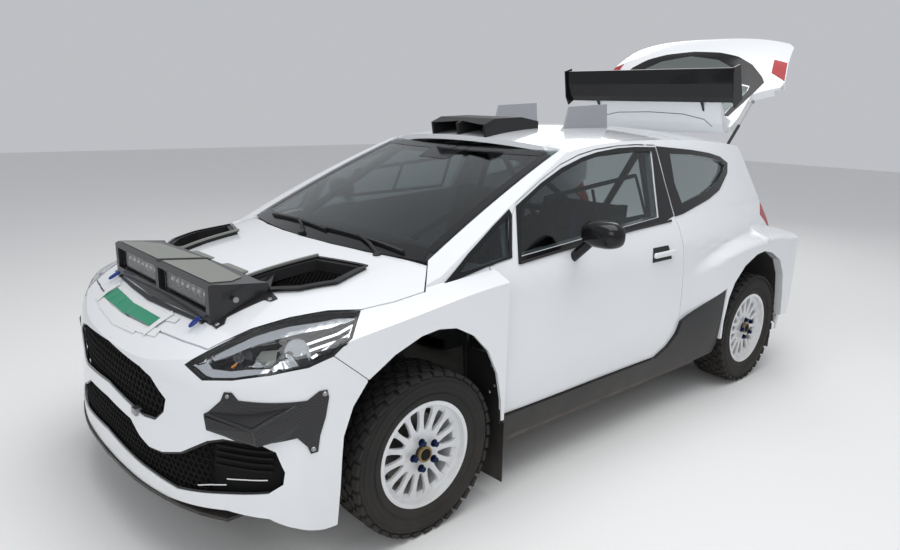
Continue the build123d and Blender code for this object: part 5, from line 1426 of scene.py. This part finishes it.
def add_spokes(bm):
    """Add one spoke with rounded front edges and copy it round the wheel."""
    outline = [(w, r) for r, w in SPOKE] + [(-w, r) for r, w in reversed(SPOKE)]
    face = bm.faces.new([bm.verts.new((x / 1000, SPOKE_FRONT, r / 1000)) for x, r in outline])
    for vert in made_verts(bmesh.ops.extrude_face_region(bm, geom=[face])):
        vert.co.y = SPOKE_BACK
        vert.co.z = min(vert.co.z, SPOKE_BACK_RADIUS)
    front_edges = [e for e in bm.edges if all(abs(v.co.y - SPOKE_FRONT) < 1e-6 for v in e.verts)]
    bmesh.ops.bevel(bm, geom=front_edges, offset=0.0035, affect="EDGES", segments=3, profile=0.5, material=-1)
    spin_copies(bm, SPOKE_COUNT)


def wheel(corner):
    """A white wheel with its brake disc behind it, in place of the CAD rim."""
    node = f"rim_{corner}"
    centre, side = wheel_place(node)
    rim = bmesh.new()
    add_spokes(rim)
    spun(rim, BARREL)
    spun(rim, HUB)
    brake = bmesh.new()
    spun(brake, BRAKE)
    pieces = []
    for name, bm, material, slot in ((f"wheel_{corner}", rim, wheel_paint, "wheel_white"),
                                     (f"brake_disc_{corner}", brake, dark_steel, "dark_steel")):
        bmesh.ops.scale(bm, vec=(1, side, 1), verts=bm.verts)
        bmesh.ops.translate(bm, vec=centre, verts=bm.verts)
        pieces.append(dress(mesh_object(name, bm), material, nodes[node]["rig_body"]))
    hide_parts(node)
    return pieces[0]


wheels = [wheel(corner) for corner in CORNERS]
print("wheel faces:", [len(w.data.polygons) for w in wheels])

# %% [markdown]
# Each wheel is held by five dark blue nuts round an open bronze bore. A nut is a short six-sided cone on a
# round washer. A ray finds the face of the CAD rim, so that the nuts sit on it.

# %% Wheel nuts and bores
NUT_COUNT, NUT_CIRCLE, FIRST_NUT = 5, 0.054, 0.3
for corner in CORNERS:
    centre, side = wheel_place(f"rim_{corner}")
    body = nodes[f"rim_{corner}"]["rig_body"]
    out = (0, side, 0)
    start = (centre.x + NUT_CIRCLE, centre.y + 0.3 * side, centre.z)
    face_y = land(surface(f"rim_{corner}"), start, (0, -side, 0), 0.0)[0].y
    bm = bmesh.new()
    for k in range(NUT_COUNT):
        angle = math.tau * k / NUT_COUNT + FIRST_NUT
        spot = Vector((centre.x + NUT_CIRCLE * math.sin(angle), face_y - 0.002 * side,
                       centre.z + NUT_CIRCLE * math.cos(angle)))
        disc(bm, spot, out, 0.0125, 0.020, 6, 0.0115)
        disc(bm, spot, out, 0.015, 0.005, 24)
    dress(mesh_object(f"wheel_nuts_{corner}", bm), blue_metal, body, bevel=0.001)
    bm = bmesh.new()
    disc(bm, (centre.x, face_y - 0.004 * side, centre.z), out, 0.031, 0.010, 32)
    dress(mesh_object(f"hub_ring_{corner}", bm), bronze, body, bevel=0.001)
    bm = bmesh.new()
    disc(bm, (centre.x, face_y + 0.004 * side, centre.z), out, 0.023, 0.003, 32)
    dress(mesh_object(f"hub_bore_{corner}", bm), matt_black, body)
print("wheel nuts:", NUT_COUNT * len(CORNERS))

# %% [markdown]
# Inside, each seat gets two blue shoulder straps. They are drawn ahead of the seat and carried back onto
# it, like the trim outside. They show through the windscreen and the open doors.

# %% Belts
BELT_WIDTH, BELT_OFFSET, SEAT_MIDDLE = 0.045, 0.07, 0.35
# Columns: place along the car, height
BELT_LINE = [(0.58, 0.99), (0.58, 0.86), (0.62, 0.74), (0.68, 0.62)]
seat_tree = surface("seats")
for name, side in SIDES:
    for k, offset in enumerate((-BELT_OFFSET, BELT_OFFSET)):
        line = [(x, SEAT_MIDDLE * side + offset, z) for x, z in BELT_LINE]
        strip(f"belt_{name}_{k}", seat_tree, line, BACK, BELT_WIDTH, blue_strap, lift=0.006)
